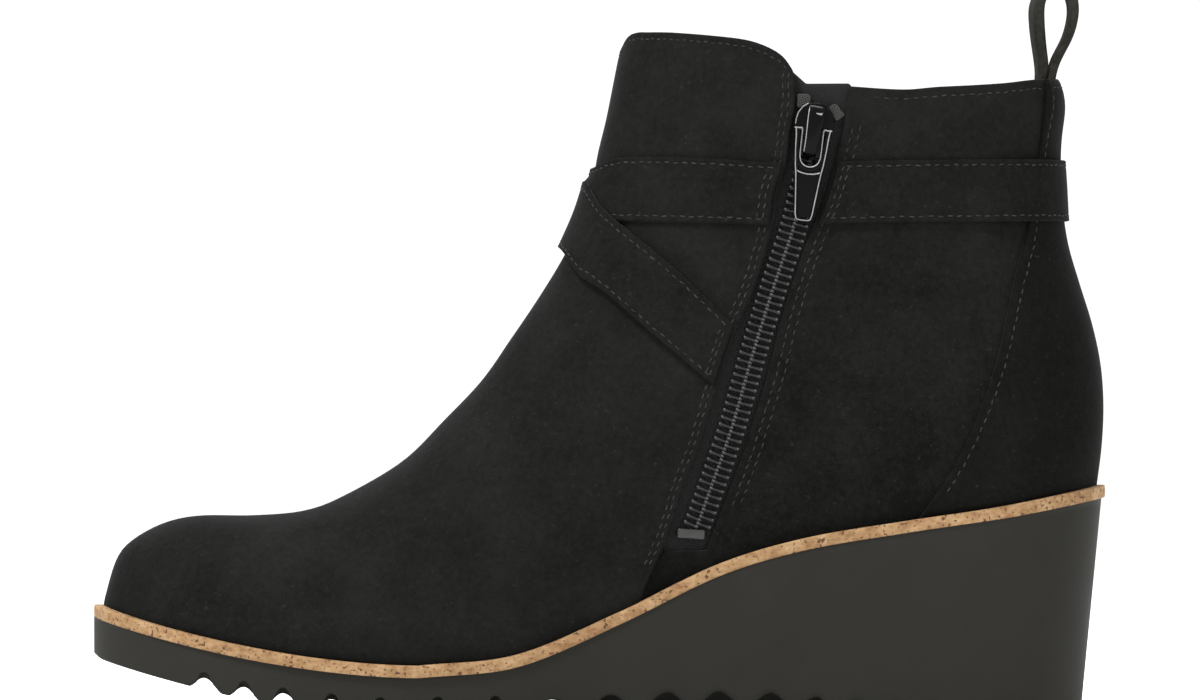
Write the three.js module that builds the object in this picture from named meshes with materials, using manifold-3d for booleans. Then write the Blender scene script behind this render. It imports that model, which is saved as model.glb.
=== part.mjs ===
// A right wedge ankle boot: a hollow suede upper with a side zip, two crossed ankle straps,
// a heel counter and a pull loop, on a cork-look rand and a one-piece rubber wedge sole with ripple lugs.
// Millimetres. The toe points along -X, the inner (medial) side faces -Y, and +Z is up.
// The origin is on the floor, under the middle of the boot's box.
import * as THREE from 'three';
import { mergeVertices } from 'three/addons/utils/BufferGeometryUtils.js';
import Module from 'manifold-3d';

const wasm = await Module();
wasm.setup();

// Driving dimensions
const SOLE_LENGTH = 256;
const BALL_WIDTH = 87; // upper across the ball of the foot
const FOREFOOT_HEIGHT = 13.7; // floor to the upper's lower edge at the ball
const HEEL_HEIGHT = 58.3; // floor to the upper's lower edge at the heel
const TOE_SPRING = 14.4; // rise of the toe over the ball
const SHAFT_HEIGHT = 101.6; // heel seat to the collar at the back
const SHAFT_WIDTH = 66; // across the collar
const TOE_SWING = 5; // the toe tip's shift towards the inner side
const WALL = 1.4; // suede and lining together, at the quarters
const CLEARANCE = 0.3; // between pieces that meet
const RAND_THICKNESS = 2.9;
const RAND_FLANGE = 2.4; // how far the rand stands out beyond the upper
const INSOLE_THICKNESS = 3;
const LUG_DEPTH = 0.29; // as a share of the pitch
const LUG_TIP = 2; // flat on each lug
const TREAD_SPRING = 15; // rise of the tread at the toe
const TREAD_CURVE = 1.6; // exponent of that rise
const ARCH_RISE = 3;
const HEEL_INSET = 0.9; // from the rand's back to the rubber's
const HEEL_UNDERCUT = 6.3; // how far the heel's back leans in towards the floor
const SIDE_UNDERCUT = 1.6;
const PANEL_STEP = 0.8; // the front panel laps over the quarters and is thicker by this
const COUNTER_THICKNESS = 0.8;
const STRAP_THICKNESS = 1;
const STRAP_END_GAP = 1; // from the zip's opening to a strap's end
const COIL_WIDTH = 6.6;
const COIL_HEIGHT = 1.6;
const TAPE_WIDTH = 22;
const TAPE_THICKNESS = 0.6;
const TAPE_END_THICKNESS = 1.1;
const SLIDER_LENGTH = 14;
const SLIDER_WIDTH = 9.6;
const SLIDER_PLATE = 1;
const CROWN_WIDTH = 3.2;
const CROWN_BAR = 1;
const PIN_DIAMETER = 1.2;
const TAB_LENGTH = 21.5;
const TAB_WIDTH = 8.6;
const TAB_END_WIDTH = 4.2;
const TAB_HOLE_WIDTH = 5.2;
const TAB_HOLE_LENGTH = 9.4;
const TAB_THICKNESS = 1.2;
const LOOP_WIDTH = 9;
const LOOP_STRAND = 2.4;
const LOOP_HEIGHT = 25.6; // over the collar
const LOOP_TAIL = 12;
const LOOP_ROOM = 1; // from the counter to the flat loop, for the heel's curve

// Rounding depths: how far in from an edge of the side view the form reaches its full width
const TOE_DEPTH = 52;
const HEEL_DEPTH = 34;
const ANKLE_DEPTH = 50;
const RIDGE_DEPTH = 58;
const ROUNDNESS = 2.15; // exponent of the rounding, 2 is an ellipse
const FEATHER_TUCK = 0.045; // share by which the upper draws in at its lower edge
const TUCK_HEIGHT = 5;
const LOWER_RUN = 8; // how far the form runs on below the upper's edge, before it is cut

// Tables. Along is the share of the sole's length from the toe.
const BALL_ALONG = 0.325;
const TOE_CURVE = 1.75; // exponent of the toe spring's rise
const HEEL_RISE = [
  { along: 0.325, rise: 0 }, { along: 0.42, rise: 0.058 }, { along: 0.52, rise: 0.295 },
  { along: 0.618, rise: 0.566 }, { along: 0.698, rise: 0.705 }, { along: 0.797, rise: 0.803 },
  { along: 0.896, rise: 0.888 }, { along: 1, rise: 1 },
];
// Half widths of the upper's lower edge as shares of the ball width, before the ends are rounded
const PLAN = [
  { along: 0, medial: 0.385, lateral: 0.385 }, { along: 0.1, medial: 0.405, lateral: 0.405 },
  { along: 0.2, medial: 0.455, lateral: 0.45 }, { along: 0.29, medial: 0.485, lateral: 0.495 },
  { along: 0.38, medial: 0.45, lateral: 0.515 }, { along: 0.5, medial: 0.375, lateral: 0.475 },
  { along: 0.62, medial: 0.335, lateral: 0.415 }, { along: 0.75, medial: 0.34, lateral: 0.37 },
  { along: 0.88, medial: 0.355, lateral: 0.36 }, { along: 1, medial: 0.355, lateral: 0.355 },
];
// Half widths of the shaft as shares of the collar's width; up is the share of the shaft's height
const SHAFT = [
  { up: -0.3, medial: 0.465, lateral: 0.465 }, { up: 0, medial: 0.465, lateral: 0.465 },
  { up: 0.3, medial: 0.46, lateral: 0.45 }, { up: 0.55, medial: 0.475, lateral: 0.455 },
  { up: 0.8, medial: 0.485, lateral: 0.48 }, { up: 1, medial: 0.5, lateral: 0.5 },
  { up: 1.3, medial: 0.52, lateral: 0.52 },
];
const PLAN_UNTIL = 0; // the plan's widths hold below this share of the shaft, and
const SHAFT_FROM = 0.45; // the shaft's widths above this one
// The ridge from the toe tip over the instep and up the shin. Up is the height as a share of the
// shaft's, over the lower edge where seat is 0 and over the heel seat where seat is 1.
const RIDGE = [
  { along: 0.0095, seat: 0, up: 0 }, { along: 0.012, seat: 0, up: 0.035 },
  { along: 0.0228, seat: 0, up: 0.13 }, { along: 0.0386, seat: 0, up: 0.188 },
  { along: 0.0693, seat: 0, up: 0.25 }, { along: 0.104, seat: 0, up: 0.289 },
  { along: 0.1584, seat: 0, up: 0.318 }, { along: 0.208, seat: 0, up: 0.35 },
  { along: 0.2475, seat: 0, up: 0.4 }, { along: 0.305, seat: 0, up: 0.496 },
  { along: 0.3465, seat: 0, up: 0.596 }, { along: 0.3832, seat: 0, up: 0.688 },
  { along: 0.4119, seat: 0.1, up: 0.739 }, { along: 0.4376, seat: 0.3, up: 0.738 },
  { along: 0.4614, seat: 0.6, up: 0.706 }, { along: 0.4812, seat: 0.9, up: 0.689 },
  { along: 0.4921, seat: 1, up: 0.746 }, { along: 0.498, seat: 1, up: 0.826 },
  { along: 0.5059, seat: 1, up: 0.908 }, { along: 0.5119, seat: 1, up: 0.983 },
  { along: 0.5178, seat: 1, up: 1.058 }, { along: 0.525, seat: 1, up: 1.14 },
  { along: 0.53, seat: 1, up: 1.21 },
];
// The back profile: how far it lies inside the rand's end, as a share of ANKLE_INSET
const ANKLE_INSET = 8.3;
const BACK = [
  { up: -0.12, inset: 0.2 }, { up: 0, inset: 0 }, { up: 0.1, inset: -0.15 }, { up: 0.2, inset: -0.2 },
  { up: 0.3, inset: -0.11 }, { up: 0.4, inset: 0.15 }, { up: 0.5, inset: 0.53 }, { up: 0.6, inset: 0.88 },
  { up: 0.7, inset: 1.05 }, { up: 0.8, inset: 1.1 }, { up: 0.9, inset: 1.08 }, { up: 1, inset: 1.14 },
  { up: 1.16, inset: 1.3 },
];
// The sections that fan out round the instep: shares of the ridge's length and of the length of the
// lower edge and back together
const FAN = [
  { ridge: 0, end: 0 }, { ridge: 0.012, end: 0.003 }, { ridge: 0.045, end: 0.013 },
  { ridge: 0.095, end: 0.034 }, { ridge: 0.16, end: 0.066 }, { ridge: 0.225, end: 0.108 },
  { ridge: 0.291, end: 0.156 }, { ridge: 0.362, end: 0.206 }, { ridge: 0.437, end: 0.259 },
  { ridge: 0.5, end: 0.313 }, { ridge: 0.559, end: 0.371 }, { ridge: 0.614, end: 0.438 },
  { ridge: 0.664, end: 0.507 }, { ridge: 0.706, end: 0.572 }, { ridge: 0.742, end: 0.63 },
  { ridge: 0.775, end: 0.682 }, { ridge: 0.806, end: 0.735 }, { ridge: 0.838, end: 0.795 },
  { ridge: 0.869, end: 0.84 }, { ridge: 0.898, end: 0.88 }, { ridge: 0.925, end: 0.92 },
  { ridge: 0.95, end: 0.955 }, { ridge: 1, end: 1 },
];
const SECTION_STEPS = 36;
const STEPS_ACROSS = 10; // from the ridge to the lower edge or the back, on each side

// Lines drawn on the side of the boot: along, and up as a share of the shaft's height over the heel seat
const COLLAR = [
  { along: 0.5, up: 1.02 }, { along: 0.51, up: 1.045 }, { along: 0.5198, up: 1.075 },
  { along: 0.528, up: 1.107 }, { along: 0.54, up: 1.12 }, { along: 0.5713, up: 1.12 },
  { along: 0.6287, up: 1.105 }, { along: 0.6485, up: 1.0955 }, { along: 0.6663, up: 1.078 },
  { along: 0.6782, up: 1.058 }, { along: 0.6871, up: 1.028 }, { along: 0.6925, up: 1 },
  { along: 0.702, up: 0.989 }, { along: 0.73, up: 0.986 }, { along: 0.797, up: 0.976 },
  { along: 0.8317, up: 0.983 }, { along: 0.8663, up: 0.988 }, { along: 0.901, up: 0.995 },
  { along: 0.9307, up: 1.005 }, { along: 1, up: 1.02 },
];
const SEAM = [ // edge of the front panel
  { along: 0.7, up: 1.2 }, { along: 0.6905, up: 0.998 }, { along: 0.6901, up: 0.93 },
  { along: 0.6861, up: 0.874 }, { along: 0.6822, up: 0.794 }, { along: 0.6743, up: 0.729 },
  { along: 0.6683, up: 0.637 }, { along: 0.6485, up: 0.47 }, { along: 0.6327, up: 0.383 },
  { along: 0.6168, up: 0.261 }, { along: 0.597, up: 0.092 }, { along: 0.5792, up: -0.02 },
  { along: 0.5663, up: -0.126 }, { along: 0.5515, up: -0.212 }, { along: 0.54, up: -0.28 },
];
const ZIP = [ // middle of the zip
  { along: 0.7188, up: 1.02 }, { along: 0.7158, up: 0.939 }, { along: 0.7119, up: 0.871 },
  { along: 0.7049, up: 0.794 }, { along: 0.696, up: 0.704 }, { along: 0.6881, up: 0.627 },
  { along: 0.6693, up: 0.485 }, { along: 0.6485, up: 0.315 }, { along: 0.6297, up: 0.146 },
  { along: 0.6064, up: -0.024 }, { along: 0.5946, up: -0.104 }, { along: 0.58, up: -0.18 },
];
const ZIP_BACK = [ // folded edge of the quarter behind the zip
  { along: 0.7475, up: 1.02 }, { along: 0.7426, up: 0.954 }, { along: 0.7356, up: 0.854 },
  { along: 0.7188, up: 0.704 }, { along: 0.7075, up: 0.637 }, { along: 0.688, up: 0.502 },
  { along: 0.6763, up: 0.4 }, { along: 0.6634, up: 0.27 }, { along: 0.6505, up: 0.163 },
  { along: 0.6405, up: 0.083 }, { along: 0.6307, up: 0.016 }, { along: 0.6188, up: -0.064 },
  { along: 0.611, up: -0.114 }, { along: 0.602, up: -0.18 },
];
const ZIP_FOOT = -0.112; // end of the coil, as a share of the shaft's height
const STOP_UP = -0.129;
const SLOT_FOOT = -0.162;
const SLIDER_UP = 0.874; // middle of the slider's pin
const COUNTER = [ // front edge of the heel counter
  { along: 0.943, up: 1.1 }, { along: 0.938, up: 0.92 }, { along: 0.933, up: 0.82 }, { along: 0.92, up: 0.63 },
  { along: 0.905, up: 0.485 }, { along: 0.89, up: 0.32 }, { along: 0.873, up: 0.193 },
  { along: 0.848, up: 0.054 }, { along: 0.816, up: -0.07 }, { along: 0.79, up: -0.16 },
];
// Lower and upper edges of the straps. Each strap is level on one side of the boot and slants down on
// the other. Inner is the zip's side. Both straps cross over the ridge, the over strap lower down.
const UNDER_INNER = [
  { along: 0.45, low: 0.625, high: 0.785 }, { along: 0.472, low: 0.625, high: 0.785 },
  { along: 0.4945, low: 0.64, high: 0.785 }, { along: 0.51, low: 0.652, high: 0.802 },
  { along: 0.53, low: 0.652, high: 0.811 }, { along: 0.6128, low: 0.6475, high: 0.806 },
  { along: 0.6661, low: 0.643, high: 0.797 }, { along: 0.7, low: 0.643, high: 0.797 },
];
const UNDER_OUTER = [
  { along: 0.45, low: 0.625, high: 0.785 }, { along: 0.472, low: 0.625, high: 0.785 },
  { along: 0.4945, low: 0.56, high: 0.785 }, { along: 0.505, low: 0.53, high: 0.745 },
  { along: 0.5198, low: 0.487, high: 0.69 }, { along: 0.5515, low: 0.396, high: 0.605 },
  { along: 0.5792, low: 0.322, high: 0.53 }, { along: 0.6257, low: 0.214, high: 0.407 },
  { along: 0.65, low: 0.16, high: 0.345 },
];
const OVER_INNER = [
  { along: 0.45, low: 0.579, high: 0.741 }, { along: 0.4644, low: 0.579, high: 0.741 },
  { along: 0.4845, low: 0.512, high: 0.741 }, { along: 0.493, low: 0.497, high: 0.705 },
  { along: 0.505, low: 0.479, high: 0.676 }, { along: 0.5198, low: 0.447, high: 0.649 },
  { along: 0.5515, low: 0.375, high: 0.584 }, { along: 0.5792, low: 0.315, high: 0.522 },
  { along: 0.594, low: 0.283, high: 0.486 }, { along: 0.6257, low: 0.214, high: 0.407 },
  { along: 0.65, low: 0.16, high: 0.345 },
];
const OVER_OUTER = [
  { along: 0.45, low: 0.579, high: 0.741 }, { along: 0.4644, low: 0.579, high: 0.741 },
  { along: 0.4845, low: 0.612, high: 0.741 }, { along: 0.5, low: 0.64, high: 0.77 },
  { along: 0.52, low: 0.653, high: 0.803 }, { along: 0.55, low: 0.652, high: 0.811 },
  { along: 0.6128, low: 0.6475, high: 0.806 }, { along: 0.6661, low: 0.643, high: 0.797 },
  { along: 0.7426, low: 0.647, high: 0.8 }, { along: 0.8466, low: 0.651, high: 0.804 },
  { along: 1.02, low: 0.655, high: 0.808 },
];
const CROSSING_UNTIL = 0.53; // the over strap lies on the under strap up to here,
const CROSSING_OFF = 0.6; // and is back on the upper from here

// Middles of the tread's grooves
const GROOVES = [
  0.114, 0.153, 0.191, 0.239, 0.286, 0.342, 0.398, 0.455, 0.51, 0.566, 0.616, 0.668, 0.712, 0.751, 0.789, 0.827,
];
const ARCH_FROM = 0.385;
const ARCH_UNTIL = 0.865;

// Front and back of the pull loop, and of its hole, at a share of its height over the collar.
// Both are measured from the middle of its two tails, as shares of the strand's thickness.
const LOOP_OUTLINE = [
  { up: 0, front: -1, back: 1 }, { up: 0.1, front: -1.08, back: 1.13 },
  { up: 0.22, front: -1.22, back: 1.71 }, { up: 0.41, front: -1.5, back: 2.75 },
  { up: 0.61, front: -1.65, back: 3.29 }, { up: 0.75, front: -1.55, back: 3.29 }, { up: 0.88, front: -0.85, back: 2.85 },
  { up: 0.97, front: 0.2, back: 1.95 }, { up: 1, front: 0.7, back: 1.4 },
];
const LOOP_HOLE = [
  { up: 0.14, front: 0.15, back: 0.25 }, { up: 0.24, front: -0.04, back: 0.72 },
  { up: 0.41, front: -0.26, back: 1.7 }, { up: 0.61, front: -0.42, back: 2.27 },
  { up: 0.75, front: -0.32, back: 2.25 }, { up: 0.85, front: 0.2, back: 1.8 },
  { up: 0.885, front: 0.75, back: 1.3 },
];

const HALF_ROOM = 80; // half depth of the cutters, more than the boot's half width
const SKY = 260;

// Small helpers
const clamp = (v, low, high) => Math.min(high, Math.max(low, v));
const mix = (a, b, t) => a + (b - a) * t;
const smoothstep = (v, low, high) => {
  const t = clamp((v - low) / (high - low), 0, 1);
  return t * t * (3 - 2 * t);
};
const smoothMin = (a, b, soft) => {
  const h = clamp(0.5 + (b - a) / (2 * soft), 0, 1);
  return mix(b, a, h) - soft * h * (1 - h);
};

// A smooth curve through a table: the value of one column where the key column has the value v
function lookUp(rows, key, column, v) {
  const sign = rows[rows.length - 1][key] > rows[0][key] ? 1 : -1;
  let k = 0;
  while (k < rows.length - 2 && sign * (v - rows[k + 1][key]) > 0) k += 1;
  const slope = (n) => {
    const a = rows[Math.max(n - 1, 0)];
    const b = rows[Math.min(n + 1, rows.length - 1)];
    return (b[column] - a[column]) / (b[key] - a[key]);
  };
  const span = rows[k + 1][key] - rows[k][key];
  const t = clamp((v - rows[k][key]) / span, 0, 1);
  const h = t * t * (3 - 2 * t);
  return mix(rows[k][column], rows[k + 1][column], h)
    + span * (slope(k) * t * (1 - t) * (1 - t) - slope(k + 1) * t * t * (1 - t));
}

// Places: x from the share along the sole, z from the share of the shaft over the heel seat
const xAt = (along) => (along - 0.5) * SOLE_LENGTH;
const alongAt = (x) => x / SOLE_LENGTH + 0.5;
const zAt = (up) => HEEL_HEIGHT + up * SHAFT_HEIGHT;
const upAt = (z) => (z - HEEL_HEIGHT) / SHAFT_HEIGHT;
const toeLift = (along) => TOE_SPRING * Math.max(0, 1 - along / BALL_ALONG) ** TOE_CURVE;

// Height of the upper's lower edge, which is the top of the rand
function edgeZ(x) {
  const along = alongAt(x);
  const rise = along > BALL_ALONG ? lookUp(HEEL_RISE, 'along', 'rise', along) : 0;
  return FOREFOOT_HEIGHT + (HEEL_HEIGHT - FOREFOOT_HEIGHT) * rise + toeLift(along);
}

const backX = (z) => SOLE_LENGTH / 2 - RAND_FLANGE - ANKLE_INSET * lookUp(BACK, 'up', 'inset', upAt(z));
const centreY = (x) => -TOE_SWING * Math.max(0, 1 - alongAt(x) / 0.45) ** 2;

// Share of the full width that is left at a depth inside an edge of the side view
const rounded = (depth, full) => {
  const t = clamp(depth / full, 0, 1);
  return (1 - (1 - t) ** ROUNDNESS) ** (1 / ROUNDNESS);
};

// Polylines in the side view, read by their share of length
class SideLine {
  constructor(points) {
    this.points = points;
    this.lengths = [0];
    for (let i = 1; i < points.length; i += 1) {
      this.lengths.push(this.lengths[i - 1] + points[i].distanceTo(points[i - 1]));
    }
  }

  at(share) {
    const wanted = clamp(share, 0, 1) * this.lengths[this.lengths.length - 1];
    let k = 0;
    while (k < this.points.length - 2 && this.lengths[k + 1] < wanted) k += 1;
    const t = (wanted - this.lengths[k]) / (this.lengths[k + 1] - this.lengths[k]);
    return this.points[k].clone().lerp(this.points[k + 1], t);
  }
}

const range = (count) => Array.from({ length: count }, (_, i) => i);
const ridgeRows = RIDGE.map((row) => {
  const x = xAt(row.along);
  return new THREE.Vector2(x, mix(edgeZ(x), HEEL_HEIGHT, row.seat) + row.up * SHAFT_HEIGHT);
});
const ridgeLine = new SideLine(new THREE.SplineCurve(ridgeRows).getPoints(220));
const TOE_X = ridgeRows[0].x;
const BACK_TOP_UP = 1.15;

function lowerLine() {
  const heelLow = HEEL_HEIGHT - LOWER_RUN;
  const under = range(81).map((i) => {
    const x = mix(TOE_X, backX(heelLow), i / 80);
    return new THREE.Vector2(x, edgeZ(x) - LOWER_RUN);
  });
  const up = range(60).map((i) => {
    const z = mix(heelLow, zAt(BACK_TOP_UP), (i + 1) / 60);
    return new THREE.Vector2(backX(z), z);
  });
  return new SideLine([...under, ...up]);
}
const endLine = lowerLine();

// One section of the fan: its ends in the side view, for t from 0 at the toe to 1 at the collar
const fanRows = FAN.map((row, i) => ({ ...row, t: i / (FAN.length - 1) }));
function section(t) {
  return {
    front: ridgeLine.at(lookUp(fanRows, 't', 'ridge', t)),
    end: endLine.at(lookUp(fanRows, 't', 'end', t)),
  };
}

// Half width on one side (-1 inner, 1 outer) at a point of a section
function halfWidth(x, z, side, fromRidge, length) {
  const name = side < 0 ? 'medial' : 'lateral';
  const plan = BALL_WIDTH * lookUp(PLAN, 'along', name, alongAt(x));
  const shaft = SHAFT_WIDTH * lookUp(SHAFT, 'up', name, upAt(z));
  const body = mix(plan, shaft, smoothstep(upAt(z), PLAN_UNTIL, SHAFT_FROM));
  const ridge = rounded(fromRidge, Math.max(2, smoothMin(length - LOWER_RUN, RIDGE_DEPTH, 10)));
  const backDepth = mix(HEEL_DEPTH, ANKLE_DEPTH, smoothstep(upAt(z), 0, 1));
  const back = rounded(backX(z) - x, backDepth);
  const toe = rounded(x - TOE_X, TOE_DEPTH);
  const tuck = 1 - FEATHER_TUCK * Math.exp(-Math.max(0, z - edgeZ(x)) / TUCK_HEIGHT);
  return body * ridge * back * toe * tuck;
}

// The point of the form at section t, q of the way from the ridge to the section's end
function formPoint(t, q, side) {
  const { front, end } = section(t);
  const length = front.distanceTo(end);
  const p = front.clone().lerp(end, q);
  return new THREE.Vector3(p.x, centreY(p.x) + side * halfWidth(p.x, p.y, side, q * length, length), p.y);
}

// The form's surface over a point of the side view, found by halving the fan, and its outward normal
function surfacePoint(x, z, side) {
  let low = 0;
  let high = 1;
  for (let n = 0; n < 40; n += 1) {
    const t = (low + high) / 2;
    const { front, end } = section(t);
    const turn = (end.x - front.x) * (z - front.y) - (end.y - front.y) * (x - front.x);
    if (turn > 0) low = t;
    else high = t;
  }
  const { front, end } = section(low);
  const length = front.distanceTo(end);
  const fromRidge = Math.hypot(x - front.x, z - front.y);
  return new THREE.Vector3(x, centreY(x) + side * halfWidth(x, z, side, fromRidge, length), z);
}

function surfaceNormal(x, z, side) {
  const step = 1;
  const alongX = surfacePoint(x + step, z, side).sub(surfacePoint(x - step, z, side));
  const alongZ = surfacePoint(x, z + step, side).sub(surfacePoint(x, z - step, side));
  return alongX.cross(alongZ).multiplyScalar(side < 0 ? 1 : -1).normalize();
}

// A closed solid from vertices and triangles
function solidOf(geometry) {
  const bare = geometry.index ? geometry.toNonIndexed() : geometry.clone();
  bare.deleteAttribute('normal');
  bare.deleteAttribute('uv');
  const merged = mergeVertices(bare, 1e-4);
  const index = merged.index.array;
  const kept = [];
  for (let i = 0; i < index.length; i += 3) {
    const [a, b, c] = [index[i], index[i + 1], index[i + 2]];
    if (a !== b && b !== c && a !== c) kept.push(a, b, c);
  }
  return new wasm.Manifold(new wasm.Mesh({
    numProp: 3,
    vertProperties: merged.attributes.position.array,
    triVerts: new Uint32Array(kept),
  }));
}

function geometryOf(solid) {
  const mesh = solid.getMesh();
  return new THREE.BufferGeometry()
    .setAttribute('position', new THREE.BufferAttribute(new Float32Array(mesh.vertProperties), 3))
    .setIndex(new THREE.BufferAttribute(new Uint32Array(mesh.triVerts), 1))
    .toNonIndexed();
}

// The grid of the whole form: vertices, the triangles of its skin, and those of its two caps
function formGrid() {
  const vertices = [];
  const found = new Map();
  const vertex = (p) => {
    const key = `${p.x.toFixed(4)},${p.y.toFixed(4)},${p.z.toFixed(4)}`;
    if (!found.has(key)) {
      found.set(key, vertices.length);
      vertices.push(p);
    }
    return found.get(key);
  };
  const count = SECTION_STEPS;
  const rows = range(count + 1).map((i) => {
    const t = i / count;
    const closed = smoothstep(lookUp(fanRows, 't', 'end', t), 0.5, 0.66);
    return range(2 * STEPS_ACROSS + 1).map((n) => {
      const j = n - STEPS_ACROSS;
      const share = Math.abs(j) / STEPS_ACROSS;
      const open = 1 - Math.cos((share * Math.PI) / 2);
      const round = (1 - Math.cos(share * Math.PI)) / 2;
      return vertex(formPoint(t, mix(open, round, closed), Math.sign(j) || 1));
    });
  });
  const skin = [];
  const caps = [];
  const quad = (list, a, b, c, d) => list.push([a, c, b], [a, d, c]);
  for (let i = 0; i < count; i += 1) {
    const [a, b] = [rows[i], rows[i + 1]];
    for (let n = 0; n < 2 * STEPS_ACROSS; n += 1) quad(skin, a[n], a[n + 1], b[n + 1], b[n]);
    quad(caps, a[0], b[0], b[2 * STEPS_ACROSS], a[2 * STEPS_ACROSS]);
  }
  const top = rows[count];
  for (let n = 1; n < 2 * STEPS_ACROSS; n += 1) caps.push([top[0], top[n + 1], top[n]]);
  return { vertices, skin, caps };
}
const grid = formGrid();

function skinNormals() {
  const normals = grid.vertices.map(() => new THREE.Vector3());
  grid.skin.forEach((face) => {
    const [a, b, c] = face.map((n) => grid.vertices[n]);
    const turn = b.clone().sub(a).cross(c.clone().sub(a));
    face.forEach((n) => normals[n].add(turn));
  });
  return normals.map((n) => n.normalize());
}
const normals = skinNormals();

// The whole form, moved out by offset, which may change from place to place
function form(offset) {
  const amount = typeof offset === 'number' ? () => offset : offset;
  const moved = grid.vertices.map((p, n) => p.clone().addScaledVector(normals[n], amount(p)));
  const position = [];
  [...grid.skin, ...grid.caps].forEach((face) => {
    face.forEach((n) => position.push(moved[n].x, moved[n].y, moved[n].z));
  });
  return solidOf(new THREE.BufferGeometry()
    .setAttribute('position', new THREE.Float32BufferAttribute(position, 3)));
}

const shell = (inner, outer) => form(outer).subtract(form(inner));

// A prism with the given outline in the side view, from yLow to yHigh
function sidePrism(points, yLow = -HALF_ROOM, yHigh = HALF_ROOM) {
  const outline = new THREE.Shape(points.map(([x, z]) => new THREE.Vector2(x, z)));
  const geometry = new THREE.ExtrudeGeometry(outline, { depth: yHigh - yLow, bevelEnabled: false });
  geometry.rotateX(Math.PI / 2).translate(0, yHigh, 0);
  return solidOf(geometry);
}

// A table's line as points of the side view, with the given number of steps from each row to the next
function sampled(rows, key, other, steps) {
  const values = rows.slice(1).flatMap((row, k) => range(steps)
    .map((i) => mix(rows[k][key], row[key], i / steps)));
  return [...values, rows[rows.length - 1][key]].map((v) => {
    const w = lookUp(rows, key, other, v);
    return key === 'along' ? [xAt(v), zAt(w)] : [xAt(w), zAt(v)];
  });
}

// The region of the side view within half a width of a line
function band(points, before, after = before) {
  const offsetPoints = (distance) => points.map(([x, z], i) => {
    const [x0, z0] = points[Math.max(i - 1, 0)];
    const [x1, z1] = points[Math.min(i + 1, points.length - 1)];
    const length = Math.hypot(x1 - x0, z1 - z0);
    return [x - ((z1 - z0) / length) * distance, z + ((x1 - x0) / length) * distance];
  });
  return [...offsetPoints(-before), ...offsetPoints(after).reverse()];
}

const edgePoints = (lift, steps = 40) => range(steps + 1).map((i) => {
  const x = mix(-SOLE_LENGTH / 2 - 10, SOLE_LENGTH / 2 + 10, i / steps);
  return [x, edgeZ(clamp(x, xAt(0), xAt(1))) + lift];
});
const aboveEdge = (lift) => {
  const points = edgePoints(lift);
  return sidePrism([...points, [points[points.length - 1][0], SKY], [points[0][0], SKY]]);
};
const layer = (low, high) => sidePrism([...edgePoints(low), ...edgePoints(high).reverse()]);

// Cutters from the lines on the boot's side
const collarPoints = sampled(COLLAR, 'along', 'up', 2);
const belowCollar = sidePrism([
  ...collarPoints, [xAt(1.1), zAt(1.01)], [xAt(1.1), -10], [xAt(-0.1), -10], [xAt(-0.1), zAt(1.122)],
]);
const seamPoints = sampled(SEAM, 'up', 'along', 1);
const frontPanel = sidePrism([...seamPoints, [xAt(-0.1), zAt(-0.28)], [xAt(-0.1), zAt(1.2)]]);
const counterPoints = sampled(COUNTER, 'up', 'along', 2);
const behindCounter = sidePrism([...counterPoints, [xAt(1.1), zAt(-0.16)], [xAt(1.1), zAt(1.1)]]);

// The zip's opening, from the panel's edge to the quarter's, made wider by room on both sides
function zipOpening(room) {
  const rise = range(17).map((i) => mix(SLOT_FOOT, 1.02, i / 16));
  const front = rise.map((up) => [xAt(lookUp(SEAM, 'up', 'along', up)) - room, zAt(up)]);
  const back = rise.map((up) => [xAt(lookUp(ZIP_BACK, 'up', 'along', up)) + room, zAt(up)]);
  return sidePrism([...front, ...back.reverse()], -HALF_ROOM, 0);
}

const INSIDE = -PANEL_STEP - WALL;

function makeUpper() {
  const panel = form(0).intersect(frontPanel);
  return form(-PANEL_STEP).add(panel)
    .subtract(form(INSIDE))
    .intersect(aboveEdge(0))
    .intersect(belowCollar)
    .subtract(zipOpening(0))
    .subtract(loopRecess());
}

const counterBase = CLEARANCE - PANEL_STEP;

function makeCounter() {
  return shell(counterBase, counterBase + COUNTER_THICKNESS)
    .intersect(behindCounter)
    .intersect(aboveEdge(0))
    .intersect(belowCollar);
}

// Straps. What a strap lies on lifts it: the front panel, the counter, and the other strap.
const RAMP_START = 4;
const RAMP_END = 15;
function strapBase(p) {
  const up = upAt(p.z);
  const behindSeam = p.x - xAt(lookUp(SEAM, 'up', 'along', up));
  const panel = PANEL_STEP * (1 - smoothstep(behindSeam, RAMP_START, RAMP_END));
  const beforeCounter = xAt(lookUp(COUNTER, 'up', 'along', up)) - p.x;
  const counter = (COUNTER_THICKNESS + CLEARANCE) * (1 - smoothstep(beforeCounter, RAMP_START, RAMP_END));
  return CLEARANCE - PANEL_STEP + panel + counter;
}
const overStrap = (p) => strapBase(p)
  + (STRAP_THICKNESS + CLEARANCE) * (1 - smoothstep(alongAt(p.x), CROSSING_UNTIL, CROSSING_OFF));
const strapShell = (base) => shell(base, (p) => base(p) + STRAP_THICKNESS);

// The region between a table's lower and upper edges, on one side of the boot
function strapRegion(rows, side, from = rows[0].along) {
  const steps = 24;
  const last = rows[rows.length - 1].along;
  const edge = (name) => range(steps + 1).map((i) => {
    const along = mix(from, last, i / steps);
    return [xAt(along), zAt(lookUp(rows, 'along', name, along))];
  });
  const [yLow, yHigh] = side < 0 ? [-HALF_ROOM, 0] : [0, HALF_ROOM];
  return sidePrism([...edge('low'), ...edge('high').reverse()], yLow, yHigh);
}

function makeUnderStrap() {
  const region = strapRegion(UNDER_INNER, -1).add(strapRegion(UNDER_OUTER, 1)).intersect(frontPanel);
  return strapShell(strapBase).intersect(region).subtract(zipOpening(STRAP_END_GAP));
}

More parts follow.
